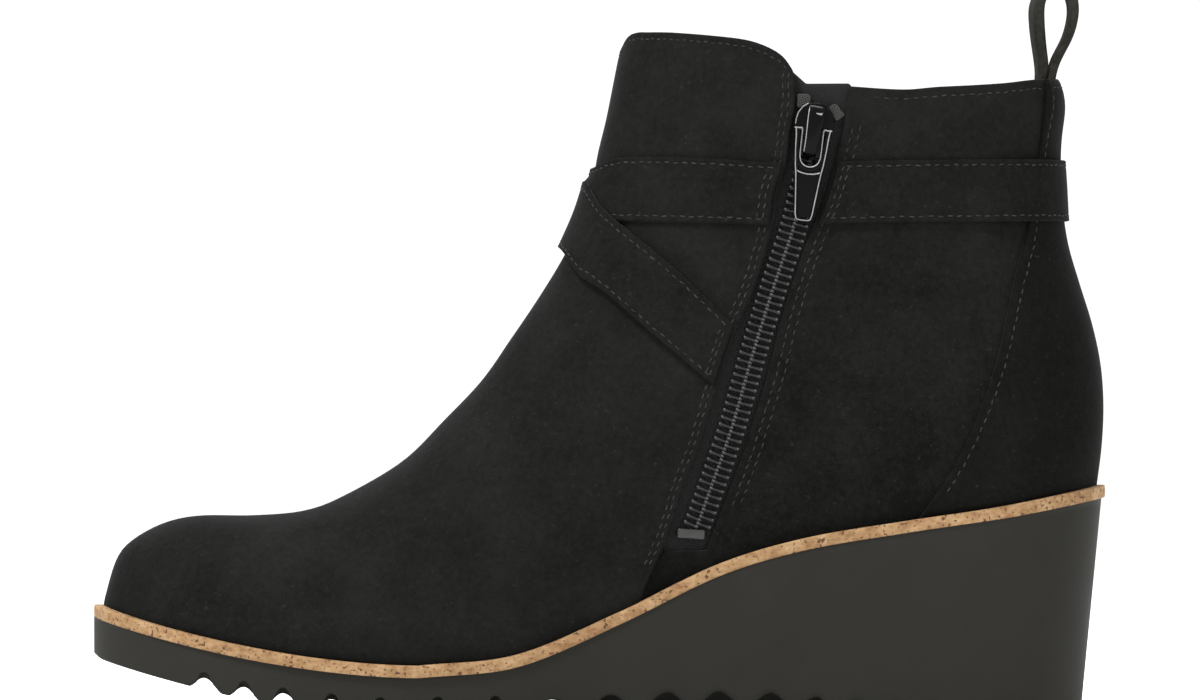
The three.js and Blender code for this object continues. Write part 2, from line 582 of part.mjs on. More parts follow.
function makeOverStrap() {
  const region = strapRegion(OVER_INNER, -1).intersect(frontPanel)
    .add(strapRegion(OVER_OUTER, 1))
    .add(strapRegion(OVER_OUTER, -1, 0.7));
  return strapShell(overStrap).intersect(region).subtract(zipOpening(STRAP_END_GAP));
}

// The biggest of the separate bodies of a solid, without the slivers that a cut can leave
function largest(solid) {
  return solid.decompose().sort((a, b) => b.volume() - a.volume())[0];
}

// The outline of the form's lower edge seen from above, moved out by a distance
function planOutline(distance, steps = 30) {
  const side = (sign) => range(steps + 1).map((i) => {
    const x = mix(TOE_X, backX(HEEL_HEIGHT), (1 - Math.cos((i / steps) * Math.PI)) / 2);
    return new THREE.Vector2(x, surfacePoint(x, edgeZ(x) + 0.01, sign).y);
  });
  const loop = [...side(-1), ...side(1).slice(1, -1).reverse()];
  return loop.map((p, i) => {
    const before = loop[(i + loop.length - 1) % loop.length];
    const after = loop[(i + 1) % loop.length];
    const along = after.clone().sub(before).normalize();
    return new THREE.Vector2(p.x + along.y * distance, p.y - along.x * distance);
  });
}

// A solid between a loop at a low level and the same loop, changed, at a high one
function drafted(lowLoop, highLoop, lowZ, highZ) {
  const position = [];
  const face = (...points) => points.forEach((p) => position.push(p.x, p.y, p.z));
  const low = lowLoop.map((p) => new THREE.Vector3(p.x, p.y, lowZ));
  const high = highLoop.map((p) => new THREE.Vector3(p.x, p.y, highZ));
  low.forEach((p, i) => {
    const next = (i + 1) % low.length;
    face(p, low[next], high[next]);
    face(p, high[next], high[i]);
  });
  THREE.ShapeUtils.triangulateShape(lowLoop, []).forEach(([a, b, c]) => face(low[a], low[c], low[b]));
  THREE.ShapeUtils.triangulateShape(highLoop, []).forEach(([a, b, c]) => face(high[a], high[b], high[c]));
  return solidOf(new THREE.BufferGeometry()
    .setAttribute('position', new THREE.Float32BufferAttribute(position, 3)));
}

const randTop = -CLEARANCE;
const randBottom = randTop - RAND_THICKNESS;
const soleLoop = planOutline(RAND_FLANGE);

function makeRand() {
  return drafted(soleLoop, soleLoop, -5, HEEL_HEIGHT + 10).intersect(layer(randBottom, randTop));
}

function makeInsole() {
  return form(INSIDE - CLEARANCE).intersect(layer(CLEARANCE, CLEARANCE + INSOLE_THICKNESS));
}

// Height of the lug tips over the floor
function treadZ(along) {
  const spring = TREAD_SPRING * Math.max(0, 1 - along / (BALL_ALONG - 0.015)) ** TREAD_CURVE;
  const arch = Math.sin(Math.PI * clamp((along - ARCH_FROM) / (ARCH_UNTIL - ARCH_FROM), 0, 1)) ** 1.5;
  return spring + ARCH_RISE * arch;
}

// The tread in the side view: a groove with a round top between each two lug tips
function treadPoints() {
  const points = [[xAt(-0.01), treadZ(0) + 1.2], [xAt(0.012), treadZ(0.012)], [xAt(0.05), treadZ(0.05)]];
  const halfTip = LUG_TIP / 2 / SOLE_LENGTH;
  GROOVES.forEach((middle, n) => {
    const before = n > 0 ? middle - GROOVES[n - 1] : GROOVES[1] - middle;
    const after = n < GROOVES.length - 1 ? GROOVES[n + 1] - middle : before;
    const depth = LUG_DEPTH * SOLE_LENGTH * (before + after) / 2;
    [[-1, 0], [-0.3, 0.85], [0, 1], [0.3, 0.85], [1, 0]].forEach(([across, share]) => {
      const half = (across < 0 ? before : after) / 2 - halfTip;
      const along = middle + across * half;
      points.push([xAt(along), treadZ(along) + share * depth]);
    });
  });
  points.push([xAt(1.02), 0]);
  return points;
}

function makeOutsole() {
  const moved = (heelIn, sideIn) => soleLoop.map((p) => {
    const heel = smoothstep(alongAt(p.x), 0.8, 1);
    return new THREE.Vector2(p.x - heelIn * heel, p.y * (1 - (2 * sideIn) / BALL_WIDTH));
  });
  const top = edgePoints(randBottom - CLEARANCE);
  const profile = sidePrism([...treadPoints(), ...top.reverse().filter(([x]) => x < xAt(1.03))]);
  return drafted(moved(HEEL_UNDERCUT, SIDE_UNDERCUT), moved(HEEL_INSET, 0), -1, HEEL_HEIGHT + randBottom)
    .intersect(profile);
}

// Zip
const tapeTop = INSIDE - CLEARANCE;

function makeTape() {
  const middle = range(15).map((i) => {
    const up = mix(SLOT_FOOT - 0.03, 1.01, i / 14);
    return [xAt(lookUp(ZIP, 'up', 'along', up)), zAt(up)];
  });
  return shell(tapeTop - TAPE_THICKNESS, tapeTop)
    .intersect(sidePrism(band(middle, TAPE_WIDTH / 2), -HALF_ROOM, 0))
    .intersect(aboveEdge(INSOLE_THICKNESS + 2 * CLEARANCE))
    .intersect(belowCollar);
}

// A frame on the inner side of the boot: across, along the zip (up) and out
function zipFrame(up) {
  const x = xAt(lookUp(ZIP, 'up', 'along', up));
  const ahead = 0.01;
  const base = surfacePoint(x, zAt(up), -1);
  const above = surfacePoint(xAt(lookUp(ZIP, 'up', 'along', up + ahead)), zAt(up + ahead), -1);
  const out = surfaceNormal(x, zAt(up), -1);
  const along = above.sub(base);
  along.addScaledVector(out, -along.dot(out)).normalize();
  return { base, out, along, across: new THREE.Vector3().crossVectors(along, out) };
}

function makeCoil() {
  const [low, high] = [INSIDE, INSIDE + COIL_HEIGHT];
  const rings = range(25).map((i) => {
    const { base, out, across } = zipFrame(mix(ZIP_FOOT, SLIDER_UP + 0.03, i / 24));
    const corner = (side, height) => base.clone()
      .addScaledVector(across, (side * COIL_WIDTH) / 2)
      .addScaledVector(out, height);
    return [corner(-1, low), corner(1, low), corner(1, high), corner(-1, high)];
  });
  return stack(rings);
}

// A solid through a row of rings with the same number of corners
function stack(rings) {
  const position = [];
  const face = (...points) => points.forEach((p) => position.push(p.x, p.y, p.z));
  const count = rings[0].length;
  for (let i = 0; i < rings.length - 1; i += 1) {
    for (let n = 0; n < count; n += 1) {
      const next = (n + 1) % count;
      const [a, b, c, d] = [rings[i][n], rings[i][next], rings[i + 1][next], rings[i + 1][n]];
      face(a, b, c);
      face(a, c, d);
    }
  }
  const last = rings[rings.length - 1];
  for (let n = 1; n < count - 1; n += 1) {
    face(rings[0][0], rings[0][n + 1], rings[0][n]);
    face(last[0], last[n], last[n + 1]);
  }
  const made = solidOf(new THREE.BufferGeometry()
    .setAttribute('position', new THREE.Float32BufferAttribute(position, 3)));
  return made.volume() < 0 ? flipped(position) : made;
}

function flipped(position) {
  const turned = [];
  for (let i = 0; i < position.length; i += 9) {
    turned.push(...position.slice(i, i + 3), ...position.slice(i + 6, i + 9), ...position.slice(i + 3, i + 6));
  }
  return solidOf(new THREE.BufferGeometry()
    .setAttribute('position', new THREE.Float32BufferAttribute(turned, 3)));
}

// Hardware, each in its own frame: X across the zip, Y up along it, Z out from the boot
const slabOf = (points, low, high, holes = []) => {
  const outline = new THREE.Shape(points.map(([x, y]) => new THREE.Vector2(x, y)));
  outline.holes = holes.map((hole) => new THREE.Path(hole.map(([x, y]) => new THREE.Vector2(x, y))));
  const geometry = new THREE.ExtrudeGeometry(outline, { depth: high - low, bevelEnabled: false });
  return geometry.translate(0, 0, low);
};
const arc = (cx, cy, radius, from, to, steps) => range(steps + 1).map((i) => {
  const angle = mix(from, to, i / steps);
  return [cx + radius * Math.cos(angle), cy + radius * Math.sin(angle)];
});

const coilTop = INSIDE + COIL_HEIGHT;
const plateLow = coilTop + CLEARANCE;
const plateTop = plateLow + SLIDER_PLATE;
const pinHeight = plateTop + CLEARANCE + PIN_DIAMETER / 2 + 0.15;
const crownLow = pinHeight + PIN_DIAMETER / 2 + CLEARANCE;
const crownTop = crownLow + CROWN_BAR;

function makeSlider() {
  const shoulder = SLIDER_WIDTH / 2;
  const [head, foot] = [SLIDER_LENGTH / 2, -SLIDER_LENGTH / 2];
  const plate = slabOf([
    ...arc(0, head - shoulder, shoulder, 0, Math.PI, 10),
    [-COIL_WIDTH / 2 - 0.6, foot + 1], [-COIL_WIDTH / 2 + 0.4, foot],
    [COIL_WIDTH / 2 - 0.4, foot], [COIL_WIDTH / 2 + 0.6, foot + 1],
  ], plateLow, plateTop);
  // The crown is drawn along the zip and standing out, and then turned up on edge
  const [from, to] = [foot + 0.4, head - 1];
  const rise = crownTop - plateTop;
  const crown = slabOf([
    [from, plateTop - 0.2], [to, plateTop - 0.2], [to, plateTop + rise * 0.5], [to - 1.4, crownTop],
    [from + 1.4, crownTop], [from, plateTop + rise * 0.5],
  ], -CROWN_WIDTH / 2, CROWN_WIDTH / 2, [[
    [from + 1.1, plateTop], [to - 1.1, plateTop], [to - 1.1, crownLow - 0.6], [to - 2, crownLow],
    [from + 2, crownLow], [from + 1.1, crownLow - 0.6],
  ]]);
  crown.applyMatrix4(new THREE.Matrix4().makeBasis(
    new THREE.Vector3(0, 1, 0), new THREE.Vector3(0, 0, 1), new THREE.Vector3(1, 0, 0),
  ));
  return solidOf(plate).add(solidOf(crown));
}

// The tab hangs from its pin, which runs through the crown. Its origin is the pin's axis.
function makeTab() {
  const [wide, narrow] = [TAB_WIDTH / 2, TAB_END_WIDTH / 2];
  const gap = TAB_HOLE_WIDTH / 2;
  const outline = [
    [-wide + 0.6, 0.6], [-wide, 0], [-wide + 0.6, -TAB_HOLE_LENGTH], [-narrow, -TAB_LENGTH + 0.6],
    [-narrow + 0.6, -TAB_LENGTH], [narrow - 0.6, -TAB_LENGTH], [narrow, -TAB_LENGTH + 0.6],
    [wide - 0.6, -TAB_HOLE_LENGTH], [wide, 0], [wide - 0.6, 0.6], [gap, 0.6],
    ...arc(0, gap - TAB_HOLE_LENGTH, gap, 0, -Math.PI, 8), [-gap, 0.6],
  ];
  const plate = slabOf(outline, -TAB_THICKNESS / 2, TAB_THICKNESS / 2);
  const pin = new THREE.CylinderGeometry(PIN_DIAMETER / 2, PIN_DIAMETER / 2, 2 * gap + 1.2, 10);
  pin.rotateZ(Math.PI / 2);
  return solidOf(plate).add(solidOf(pin));
}

function makeStop() {
  const [half, tall] = [COIL_WIDTH / 2, 1.3];
  return solidOf(slabOf([[-half, -tall], [half, -tall], [half, tall], [-half, tall]], INSIDE, coilTop));
}

// One of the two folded ends of the tape, beside the slider's head
function makeTapeEnd(width, height, turn) {
  const outline = [[-0.5, -0.5], [0.5, -0.5], [0.5, 0.35], [0.3, 0.5], [-0.5, 0.5]]
    .map(([x, y]) => [x * width, y * height]);
  return solidOf(slabOf(outline, INSIDE, INSIDE + TAPE_END_THICKNESS).rotateZ(turn));
}

// The pull loop stands in a recess of the upper, between the lining and the counter
function loopPlace() {
  const z = zAt(lookUp(COLLAR, 'along', 'up', alongAt(backX(zAt(1)))));
  return { z, x: backX(z) + counterBase - LOOP_ROOM - LOOP_STRAND };
}

function loopRecess() {
  const { x, z } = loopPlace();
  const [low, high] = [z - LOOP_TAIL - CLEARANCE, z + 10];
  const from = x - LOOP_STRAND - CLEARANCE;
  return sidePrism([[from, low], [x + 8, low], [x + 8, high], [from, high]],
    -LOOP_WIDTH / 2 - CLEARANCE, LOOP_WIDTH / 2 + CLEARANCE);
}

function makeLoop() {
  const { x, z } = loopPlace();
  const outline = (rows, halfWide) => {
    const edge = (name) => range(13).map((i) => {
      const up = mix(rows[0].up, rows[rows.length - 1].up, Math.sin((i / 12) * (Math.PI / 2)));
      return [x + lookUp(rows, 'up', name, up) * LOOP_STRAND, z + up * LOOP_HEIGHT];
    });
    return [...edge('back'), ...edge('front').reverse()];
  };
  const tails = [[x - LOOP_STRAND, z - LOOP_TAIL], [x + LOOP_STRAND, z - LOOP_TAIL]];
  return sidePrism([...tails, ...outline(LOOP_OUTLINE)], -LOOP_WIDTH / 2, LOOP_WIDTH / 2)
    .subtract(sidePrism(outline(LOOP_HOLE), -LOOP_WIDTH, LOOP_WIDTH));
}

// Colours and finishes
const suede = { color: 0x1f201f, roughness: 0.95, metalness: 0 };
const FINISH = {
  upper: suede,
  strap: { color: 0x1c1d1c, roughness: 0.95, metalness: 0 },
  loop: { color: 0x24241f, roughness: 0.9, metalness: 0 },
  cork: { color: 0xb6926a, roughness: 0.85, metalness: 0 },
  rubber: { color: 0x373632, roughness: 0.7, metalness: 0 },
  lining: { color: 0x2a2a2b, roughness: 0.95, metalness: 0 },
  tape: { color: 0x141414, roughness: 0.9, metalness: 0 },
  coil: { color: 0x1a1a1a, roughness: 0.45, metalness: 0 },
  hardware: { color: 0x0d0d0d, roughness: 0.18, metalness: 0.8 },
};

const boot = new THREE.Group();

function addPiece(name, solid, finish, parent = boot) {
  const mesh = new THREE.Mesh(geometryOf(largest(solid)), new THREE.MeshStandardMaterial(FINISH[finish]));
  mesh.name = name;
  parent.add(mesh);
  return mesh;
}

// A group that stands on the zip at a share of the shaft's height, with its Z pointing out
function onZip(up, across = 0, out = 0) {
  const frame = zipFrame(up);
  const group = new THREE.Group();
  group.quaternion.setFromRotationMatrix(
    new THREE.Matrix4().makeBasis(frame.across, frame.along, frame.out),
  );
  group.position.copy(frame.base)
    .addScaledVector(frame.across, across)
    .addScaledVector(frame.out, out);
  boot.add(group);
  return group;
}

addPiece('outsole', makeOutsole(), 'rubber');
addPiece('cork_rand', makeRand(), 'cork');
addPiece('insole', makeInsole(), 'lining');
addPiece('upper', makeUpper(), 'upper');
addPiece('heel_counter', makeCounter(), 'upper');
addPiece('under_strap', makeUnderStrap(), 'strap');
addPiece('over_strap', makeOverStrap(), 'strap');
addPiece('pull_loop', makeLoop(), 'loop');
addPiece('zip_tape', makeTape(), 'tape');
addPiece('zip_coil', makeCoil(), 'coil');
addPiece('zip_slider', makeSlider(), 'hardware', onZip(SLIDER_UP));
addPiece('zip_pull_tab', makeTab(), 'hardware', onZip(SLIDER_UP, 0, pinHeight));
addPiece('zip_bottom_stop', makeStop(), 'hardware', onZip(STOP_UP));
addPiece('tape_end_front', makeTapeEnd(3.2, 3.2, 0.35), 'tape', onZip(0.952, -3.4));
addPiece('tape_end_back', makeTapeEnd(2.2, 3.4, 0.4), 'tape', onZip(0.925, 4));

const box = new THREE.Box3().setFromObject(boot);
boot.position.set(-(box.min.x + box.max.x) / 2, -(box.min.y + box.max.y) / 2, -box.min.z);

export default boot;
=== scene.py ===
import math
import bpy
import numpy as np
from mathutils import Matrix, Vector

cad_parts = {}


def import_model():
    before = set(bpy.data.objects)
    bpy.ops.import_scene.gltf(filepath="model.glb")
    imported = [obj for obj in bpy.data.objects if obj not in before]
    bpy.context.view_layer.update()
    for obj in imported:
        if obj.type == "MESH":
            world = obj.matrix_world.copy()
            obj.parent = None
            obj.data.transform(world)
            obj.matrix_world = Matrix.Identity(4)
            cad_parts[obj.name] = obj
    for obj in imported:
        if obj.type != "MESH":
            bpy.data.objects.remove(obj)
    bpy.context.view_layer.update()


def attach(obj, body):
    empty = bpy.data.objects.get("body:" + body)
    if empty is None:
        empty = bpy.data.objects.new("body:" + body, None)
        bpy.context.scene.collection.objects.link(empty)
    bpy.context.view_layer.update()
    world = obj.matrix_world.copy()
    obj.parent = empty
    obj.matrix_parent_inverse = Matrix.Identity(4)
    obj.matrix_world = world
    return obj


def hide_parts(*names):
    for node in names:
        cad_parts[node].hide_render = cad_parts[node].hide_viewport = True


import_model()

# A right wedge ankle boot. The shapes are worked out in millimetres: the toe points along -X, the inner
# side with its zip faces -Y, and Z is up from the floor.
SOLE_LENGTH = 256.0
BALL_WIDTH = 87.0
FOREFOOT_HEIGHT = 13.7
HEEL_HEIGHT = 58.3
TOE_SPRING = 14.4
SHAFT_HEIGHT = 101.6
SHAFT_WIDTH = 66.0
TOE_SWING = 5.0
RAND_THICKNESS = 2.9
RAND_FLANGE = 2.4
TREAD_SPRING = 15.0
TREAD_CURVE = 1.6
ARCH_RISE = 3.0
HEEL_INSET = 0.9
HEEL_UNDERCUT = 6.3
SIDE_UNDERCUT = 1.6
TOE_DEPTH = 52.0
HEEL_DEPTH = 34.0
ANKLE_DEPTH = 50.0
RIDGE_DEPTH = 58.0
ROUNDNESS = 2.15
FEATHER_TUCK = 0.045
TUCK_HEIGHT = 5.0
LOWER_RUN = 8.0
BALL_ALONG = 0.325
TOE_CURVE = 1.75
ANKLE_INSET = 8.3
SHAFT_FROM = 0.45
BACK_TOP_UP = 1.15
CENTRING = np.array([-0.016, -0.8668, 0.0])  # from the last's own axes to the middle of the boot's box

# Layers, as distances from the outer skin of the front panel
PANEL_SKIN = 0.0
QUARTER_SKIN = -0.8
BACKING = -1.3
LINING_SKIN = -2.2
COUNTER_SKIN = 0.3
TAPE_SKIN = -2.5
COIL_FOOT = -2.2
STRAP_THICKNESS = 1.0
STRAP_LIFT = 0.3
SLIDER_LOW = -0.3
SLIDER_HIGH = 0.7
PIN_OUT = 1.75

# Tables. Along is the share of the sole's length from the toe; up is the share of the shaft's height
# over the heel seat, and below the seat it is negative.
HEEL_RISE = np.array([
    (0.325, 0), (0.42, 0.058), (0.52, 0.295), (0.618, 0.566), (0.698, 0.705), (0.797, 0.803),
    (0.896, 0.888), (1, 1)])
PLAN = np.array([  # along, inner and outer half width as shares of the ball's width
    (0, 0.385, 0.385), (0.1, 0.405, 0.405), (0.2, 0.455, 0.45), (0.29, 0.485, 0.495),
    (0.38, 0.45, 0.515), (0.5, 0.375, 0.475), (0.62, 0.335, 0.415), (0.75, 0.34, 0.37),
    (0.88, 0.355, 0.36), (1, 0.355, 0.355)])
SHAFT = np.array([  # up, inner and outer half width as shares of the collar's width
    (-0.3, 0.465, 0.465), (0, 0.465, 0.465), (0.3, 0.46, 0.45), (0.55, 0.475, 0.455),
    (0.8, 0.485, 0.48), (1, 0.5, 0.5), (1.3, 0.52, 0.52)])
RIDGE = np.array([  # along, seat (0 over the lower edge, 1 over the heel seat), up
    (0.0095, 0, 0), (0.012, 0, 0.035), (0.0228, 0, 0.13), (0.0386, 0, 0.188), (0.0693, 0, 0.25),
    (0.104, 0, 0.289), (0.1584, 0, 0.318), (0.208, 0, 0.35), (0.2475, 0, 0.4), (0.305, 0, 0.496),
    (0.3465, 0, 0.596), (0.3832, 0, 0.688), (0.4119, 0.1, 0.739), (0.4376, 0.3, 0.738),
    (0.4614, 0.6, 0.706), (0.4812, 0.9, 0.689), (0.4921, 1, 0.746), (0.498, 1, 0.826),
    (0.5059, 1, 0.908), (0.5119, 1, 0.983), (0.5178, 1, 1.058), (0.525, 1, 1.14), (0.53, 1, 1.21)])
BACK = np.array([  # up, inset as a share of the ankle's
    (-0.12, 0.2), (0, 0), (0.1, -0.15), (0.2, -0.2), (0.3, -0.11), (0.4, 0.15), (0.5, 0.53),
    (0.6, 0.88), (0.7, 1.05), (0.8, 1.1), (0.9, 1.08), (1, 1.14), (1.16, 1.3)])
FAN = np.array([  # shares of the ridge's length and of the lower edge and back together
    (0, 0), (0.012, 0.003), (0.045, 0.013), (0.095, 0.034), (0.16, 0.066), (0.225, 0.108),
    (0.291, 0.156), (0.362, 0.206), (0.437, 0.259), (0.5, 0.313), (0.559, 0.371), (0.614, 0.438),
    (0.664, 0.507), (0.706, 0.572), (0.742, 0.63), (0.775, 0.682), (0.806, 0.735), (0.838, 0.795),
    (0.869, 0.84), (0.898, 0.88), (0.925, 0.92), (0.95, 0.955), (1, 1)])
COLLAR = np.array([  # along, up
    (0.5, 1.02), (0.51, 1.048), (0.5198, 1.083), (0.5265, 1.113), (0.534, 1.123), (0.545, 1.123),
    (0.5713, 1.12), (0.6287, 1.105), (0.6485, 1.0955), (0.6663, 1.078), (0.6782, 1.058), (0.6871, 1.028),
    (0.6925, 1), (0.702, 0.989), (0.73, 0.986), (0.797, 0.976), (0.8317, 0.983), (0.8663, 0.988),
    (0.901, 0.995), (0.9307, 1.005), (1, 1.02)])
SEAM = np.array([  # up, along: the front panel's edge
    (1.2, 0.7), (0.998, 0.6905), (0.93, 0.6901), (0.874, 0.6861), (0.794, 0.6822), (0.729, 0.6743),
    (0.637, 0.6683), (0.47, 0.6485), (0.383, 0.6327), (0.261, 0.6168), (0.092, 0.597),
    (-0.02, 0.5792), (-0.126, 0.5663), (-0.212, 0.5515), (-0.28, 0.54)])
ZIP = np.array([  # up, along: the middle of the zip
    (1.02, 0.7188), (0.939, 0.7158), (0.871, 0.7119), (0.794, 0.7049), (0.704, 0.696),
    (0.627, 0.6881), (0.485, 0.6693), (0.315, 0.6485), (0.146, 0.6297), (-0.024, 0.6064),
    (-0.104, 0.5946), (-0.18, 0.58)])
ZIP_BACK = np.array([  # up, along: the quarter's folded edge behind the zip
    (1.02, 0.7475), (0.954, 0.7426), (0.854, 0.7356), (0.704, 0.7188), (0.637, 0.7075),
    (0.502, 0.688), (0.4, 0.6763), (0.27, 0.6634), (0.163, 0.6505), (0.083, 0.6405),
    (0.016, 0.6307), (-0.064, 0.6188), (-0.114, 0.611), (-0.18, 0.602)])
COUNTER = np.array([  # up, along: the front edge of the heel counter
    (1.1, 0.943), (0.92, 0.938), (0.82, 0.933), (0.63, 0.92), (0.485, 0.905), (0.32, 0.89),
    (0.193, 0.873), (0.054, 0.848), (-0.07, 0.816), (-0.16, 0.79)])
UNDER_INNER = np.array([  # along, up of the strap's low edge, up of its high edge
    (0.45, 0.625, 0.785), (0.472, 0.625, 0.785), (0.4945, 0.64, 0.785), (0.51, 0.652, 0.802),
    (0.53, 0.652, 0.811), (0.6128, 0.6475, 0.806), (0.6661, 0.643, 0.797), (0.7, 0.643, 0.797)])
UNDER_OUTER = np.array([
    (0.45, 0.625, 0.785), (0.472, 0.625, 0.785), (0.4945, 0.56, 0.785), (0.505, 0.53, 0.745),
    (0.5198, 0.487, 0.69), (0.5515, 0.396, 0.605), (0.5792, 0.322, 0.53), (0.6257, 0.214, 0.407),
    (0.65, 0.16, 0.345)])
OVER_INNER = np.array([
    (0.45, 0.579, 0.75), (0.4666, 0.579, 0.75), (0.4845, 0.512, 0.75), (0.4928, 0.498, 0.75),
    (0.498, 0.489, 0.722),
    (0.505, 0.479, 0.691), (0.5198, 0.447, 0.652), (0.5515, 0.375, 0.584), (0.5792, 0.315, 0.522),
    (0.594, 0.283, 0.486), (0.6257, 0.214, 0.407), (0.65, 0.16, 0.345)])
OVER_OUTER = np.array([
    (0.45, 0.579, 0.75), (0.4666, 0.579, 0.75), (0.4845, 0.612, 0.75), (0.4928, 0.626, 0.75),
    (0.5, 0.64, 0.772),
    (0.52, 0.653, 0.805), (0.55, 0.652, 0.811), (0.6128, 0.6475, 0.806), (0.6661, 0.643, 0.797),
    (0.7426, 0.647, 0.8), (0.8466, 0.651, 0.804), (1.02, 0.655, 0.808)])
STRAP_WIDTH = 15.0
STRAP_STITCH_IN = 1.4  # from the strap's long edges to their stitches
STRAP_GAP = 1.0
CROSSING_UNTIL = 0.53
CROSSING_OFF = 0.6
RAMP_START = 4.0
RAMP_END = 15.0
ZIP_FOOT = -0.112
STOP_UP = -0.122
SLOT_FOOT = -0.162
SLIDER_UP = 0.874
SLIDER_ACROSS = -0.9
TAPE_REACH = 10.5
TAPE_THICKNESS = 0.5
TAPE_TOP = 158.9
COIL_PITCH = 1.88
GROOVES = np.array([0.114, 0.153, 0.191, 0.239, 0.286, 0.342, 0.398, 0.455, 0.51, 0.566, 0.616,
                    0.668, 0.712, 0.751, 0.789, 0.827])
GROOVE_SHAPE = np.array([  # shares of a groove's half width from its middle, and of its depth
    (0, 1), (0.15, 0.97), (0.3, 0.86), (0.45, 0.68), (0.7, 0.36), (0.93, 0.06), (1, 0), (9, 0)]).T
LUG_DEPTH = 0.29
LUG_TIP = 2.0
SCALLOP_RADIUS = 1.9
SCALLOP_HEIGHT = 1.6
SOLE_STEPS = 420
SOLE_TOP = HEEL_HEIGHT - 3.2
WALL_DROP = 3.15  # from the upper's lower edge down to the top of the wall
FOOTBED_RISE = 3.2
FOOTBED_IN = 3.4
SOLE_COLUMNS = np.array([0.035, 0.06, 0.11, 0.4, 0.6, 0.89, 0.94, 0.965])[:, None]
GROOVE_WEB = 0.82
ARCH_FROM = 0.385
ARCH_UNTIL = 0.865
LOOP_OUTLINE = np.array([  # up as a share of the loop's height, front and back in strand thicknesses
    (0, -1, 1), (0.1, -1.08, 1.13), (0.22, -1.22, 1.71), (0.41, -1.5, 2.75), (0.61, -1.65, 3.29),
    (0.75, -1.55, 3.29), (0.88, -0.85, 2.85), (0.97, 0.2, 1.95), (1, 0.7, 1.4)])
LOOP_HOLE = np.array([
    (0.14, 0.15, 0.25), (0.24, -0.04, 0.72), (0.41, -0.26, 1.7), (0.61, -0.42, 2.27),
    (0.75, -0.32, 2.25), (0.85, 0.2, 1.8), (0.885, 0.75, 1.3)])
LOOP_STRAND = 2.4
LOOP_WIDTH = 9.0
LOOP_HEIGHT = 25.6
LOOP_TAIL = 12.0
LOOP_LEAN = 0.9
LOOP_ROOM = 4.9  # how much deeper the lining lies behind the loop's tail

# The creases: where each starts and ends on the skin, its depth and its half width
CREASES = (
    ((-24, -40, 62), (-4, -26, 92), -0.5, 5.5),
    ((-34, -36, 66), (-14, -20, 98), 0.35, 6),
    ((12, -33, 66), (26, -34, 92), -0.4, 6),
    ((-62, -40, 26), (-52, -22, 56), -0.35, 7),
    ((-48, 40, 30), (-42, 20, 60), -0.4, 7),
    ((-8, 40, 60), (10, 30, 92), -0.45, 7),
    ((84, -33, 84), (100, -32, 112), -0.35, 7),
    ((60, -32, 78), (78, -34, 104), 0.3, 8))

# How far the leather runs down past its lower edge, how far a quarter lies under the front panel, and the
# gaps left under a lapped layer and over the lining
FEATHER_LAP = 0.25
SEAM_LAP = 6.0
LAP_GAP = 0.02
LINING_GAP = 0.03
LINING_MARGIN = 0.35  # from the leather's edges to the lining's

# Stitches: the sideways shift and the turn that vary from one to the next, the depth to which their ends
# sink, and the slant of those along a seam
STITCH_SHIFT = 0.09
STITCH_TURN = 0.13
STITCH_SINK = 0.24
STITCH_SLANT = 0.12

# Distances from an edge at which the leather is given a row of points, in mm, for its rolled rim and its
# stitches, and which of those rows carry stitches
EDGE_STEPS = np.array([0, 0.1, 0.25, 0.45, 0.7, 1.0, 1.3, 1.6, 1.95, 2.3, 2.65, 3.0, 3.4, 4.2, 5.6])
FIRST_ROW = 7
MIDDLE_ROW = 9
SECOND_ROW = 11
OUTER_ROW = 13
FIRST_AT, MIDDLE_AT, SECOND_AT = EDGE_STEPS[[FIRST_ROW, MIDDLE_ROW, SECOND_ROW]]

# Columns of the quarters' grid under the zip's opening, and the power by which shares crowd together where
# the skin turns over a ridge or the back
UNDER_COLUMNS = 12
CROWDING = 1.8
FAN_START = 0.003  # the first fan section used
SETTLING = 30  # rounds of fitting for a grid's heights


def mix(a, b, t):
    """The value at share t of the way from a to b."""
    return a + (b - a) * t


def smoothstep(v, low, high):
    """3t^2 - 2t^3, where t is the share of the way from low to high."""
    t = np.clip((v - low) / (high - low), 0, 1)
    return t * t * (3 - 2 * t)


def curve(rows, v, column=1):
    """A cubic through a table: between two rows it starts and ends with the slopes of their neighbours."""
    key, value = rows[:, 0], rows[:, column]
    sign = 1.0 if key[-1] > key[0] else -1.0
    slopes = np.empty(len(key))
    slopes[1:-1] = (value[2:] - value[:-2]) / (key[2:] - key[:-2])
    slopes[0] = (value[1] - value[0]) / (key[1] - key[0])
    slopes[-1] = (value[-1] - value[-2]) / (key[-1] - key[-2])
    v = np.asarray(v, dtype=float)
    k = np.clip(np.searchsorted(sign * key, sign * v) - 1, 0, len(key) - 2)
    span = key[k + 1] - key[k]
    t = np.clip((v - key[k]) / span, 0, 1)
    blend = mix(value[k], value[k + 1], t * t * (3 - 2 * t))
    return blend + span * (slopes[k] * t * (1 - t) ** 2 - slopes[k + 1] * t * t * (1 - t))


def halve(keeps, low, high, rounds=30):
    """The last place between low and high where keeps still holds, by halving."""
    for _ in range(rounds):
        middle = (low + high) / 2
        kept = keeps(middle)
        low, high = np.where(kept, middle, low), np.where(kept, high, middle)
    return low


def x_at(along):
    """x at a share of the sole's length from the toe."""
    return (along - 0.5) * SOLE_LENGTH


def along_at(x):
    """Share of the sole's length from the toe at x."""
    return x / SOLE_LENGTH + 0.5


def z_at(up):
    """Height at a share of the shaft's height over the heel seat."""
    return HEEL_HEIGHT + up * SHAFT_HEIGHT


def up_at(z):
    """Share of the shaft's height over the heel seat at a height."""
    return (z - HEEL_HEIGHT) / SHAFT_HEIGHT


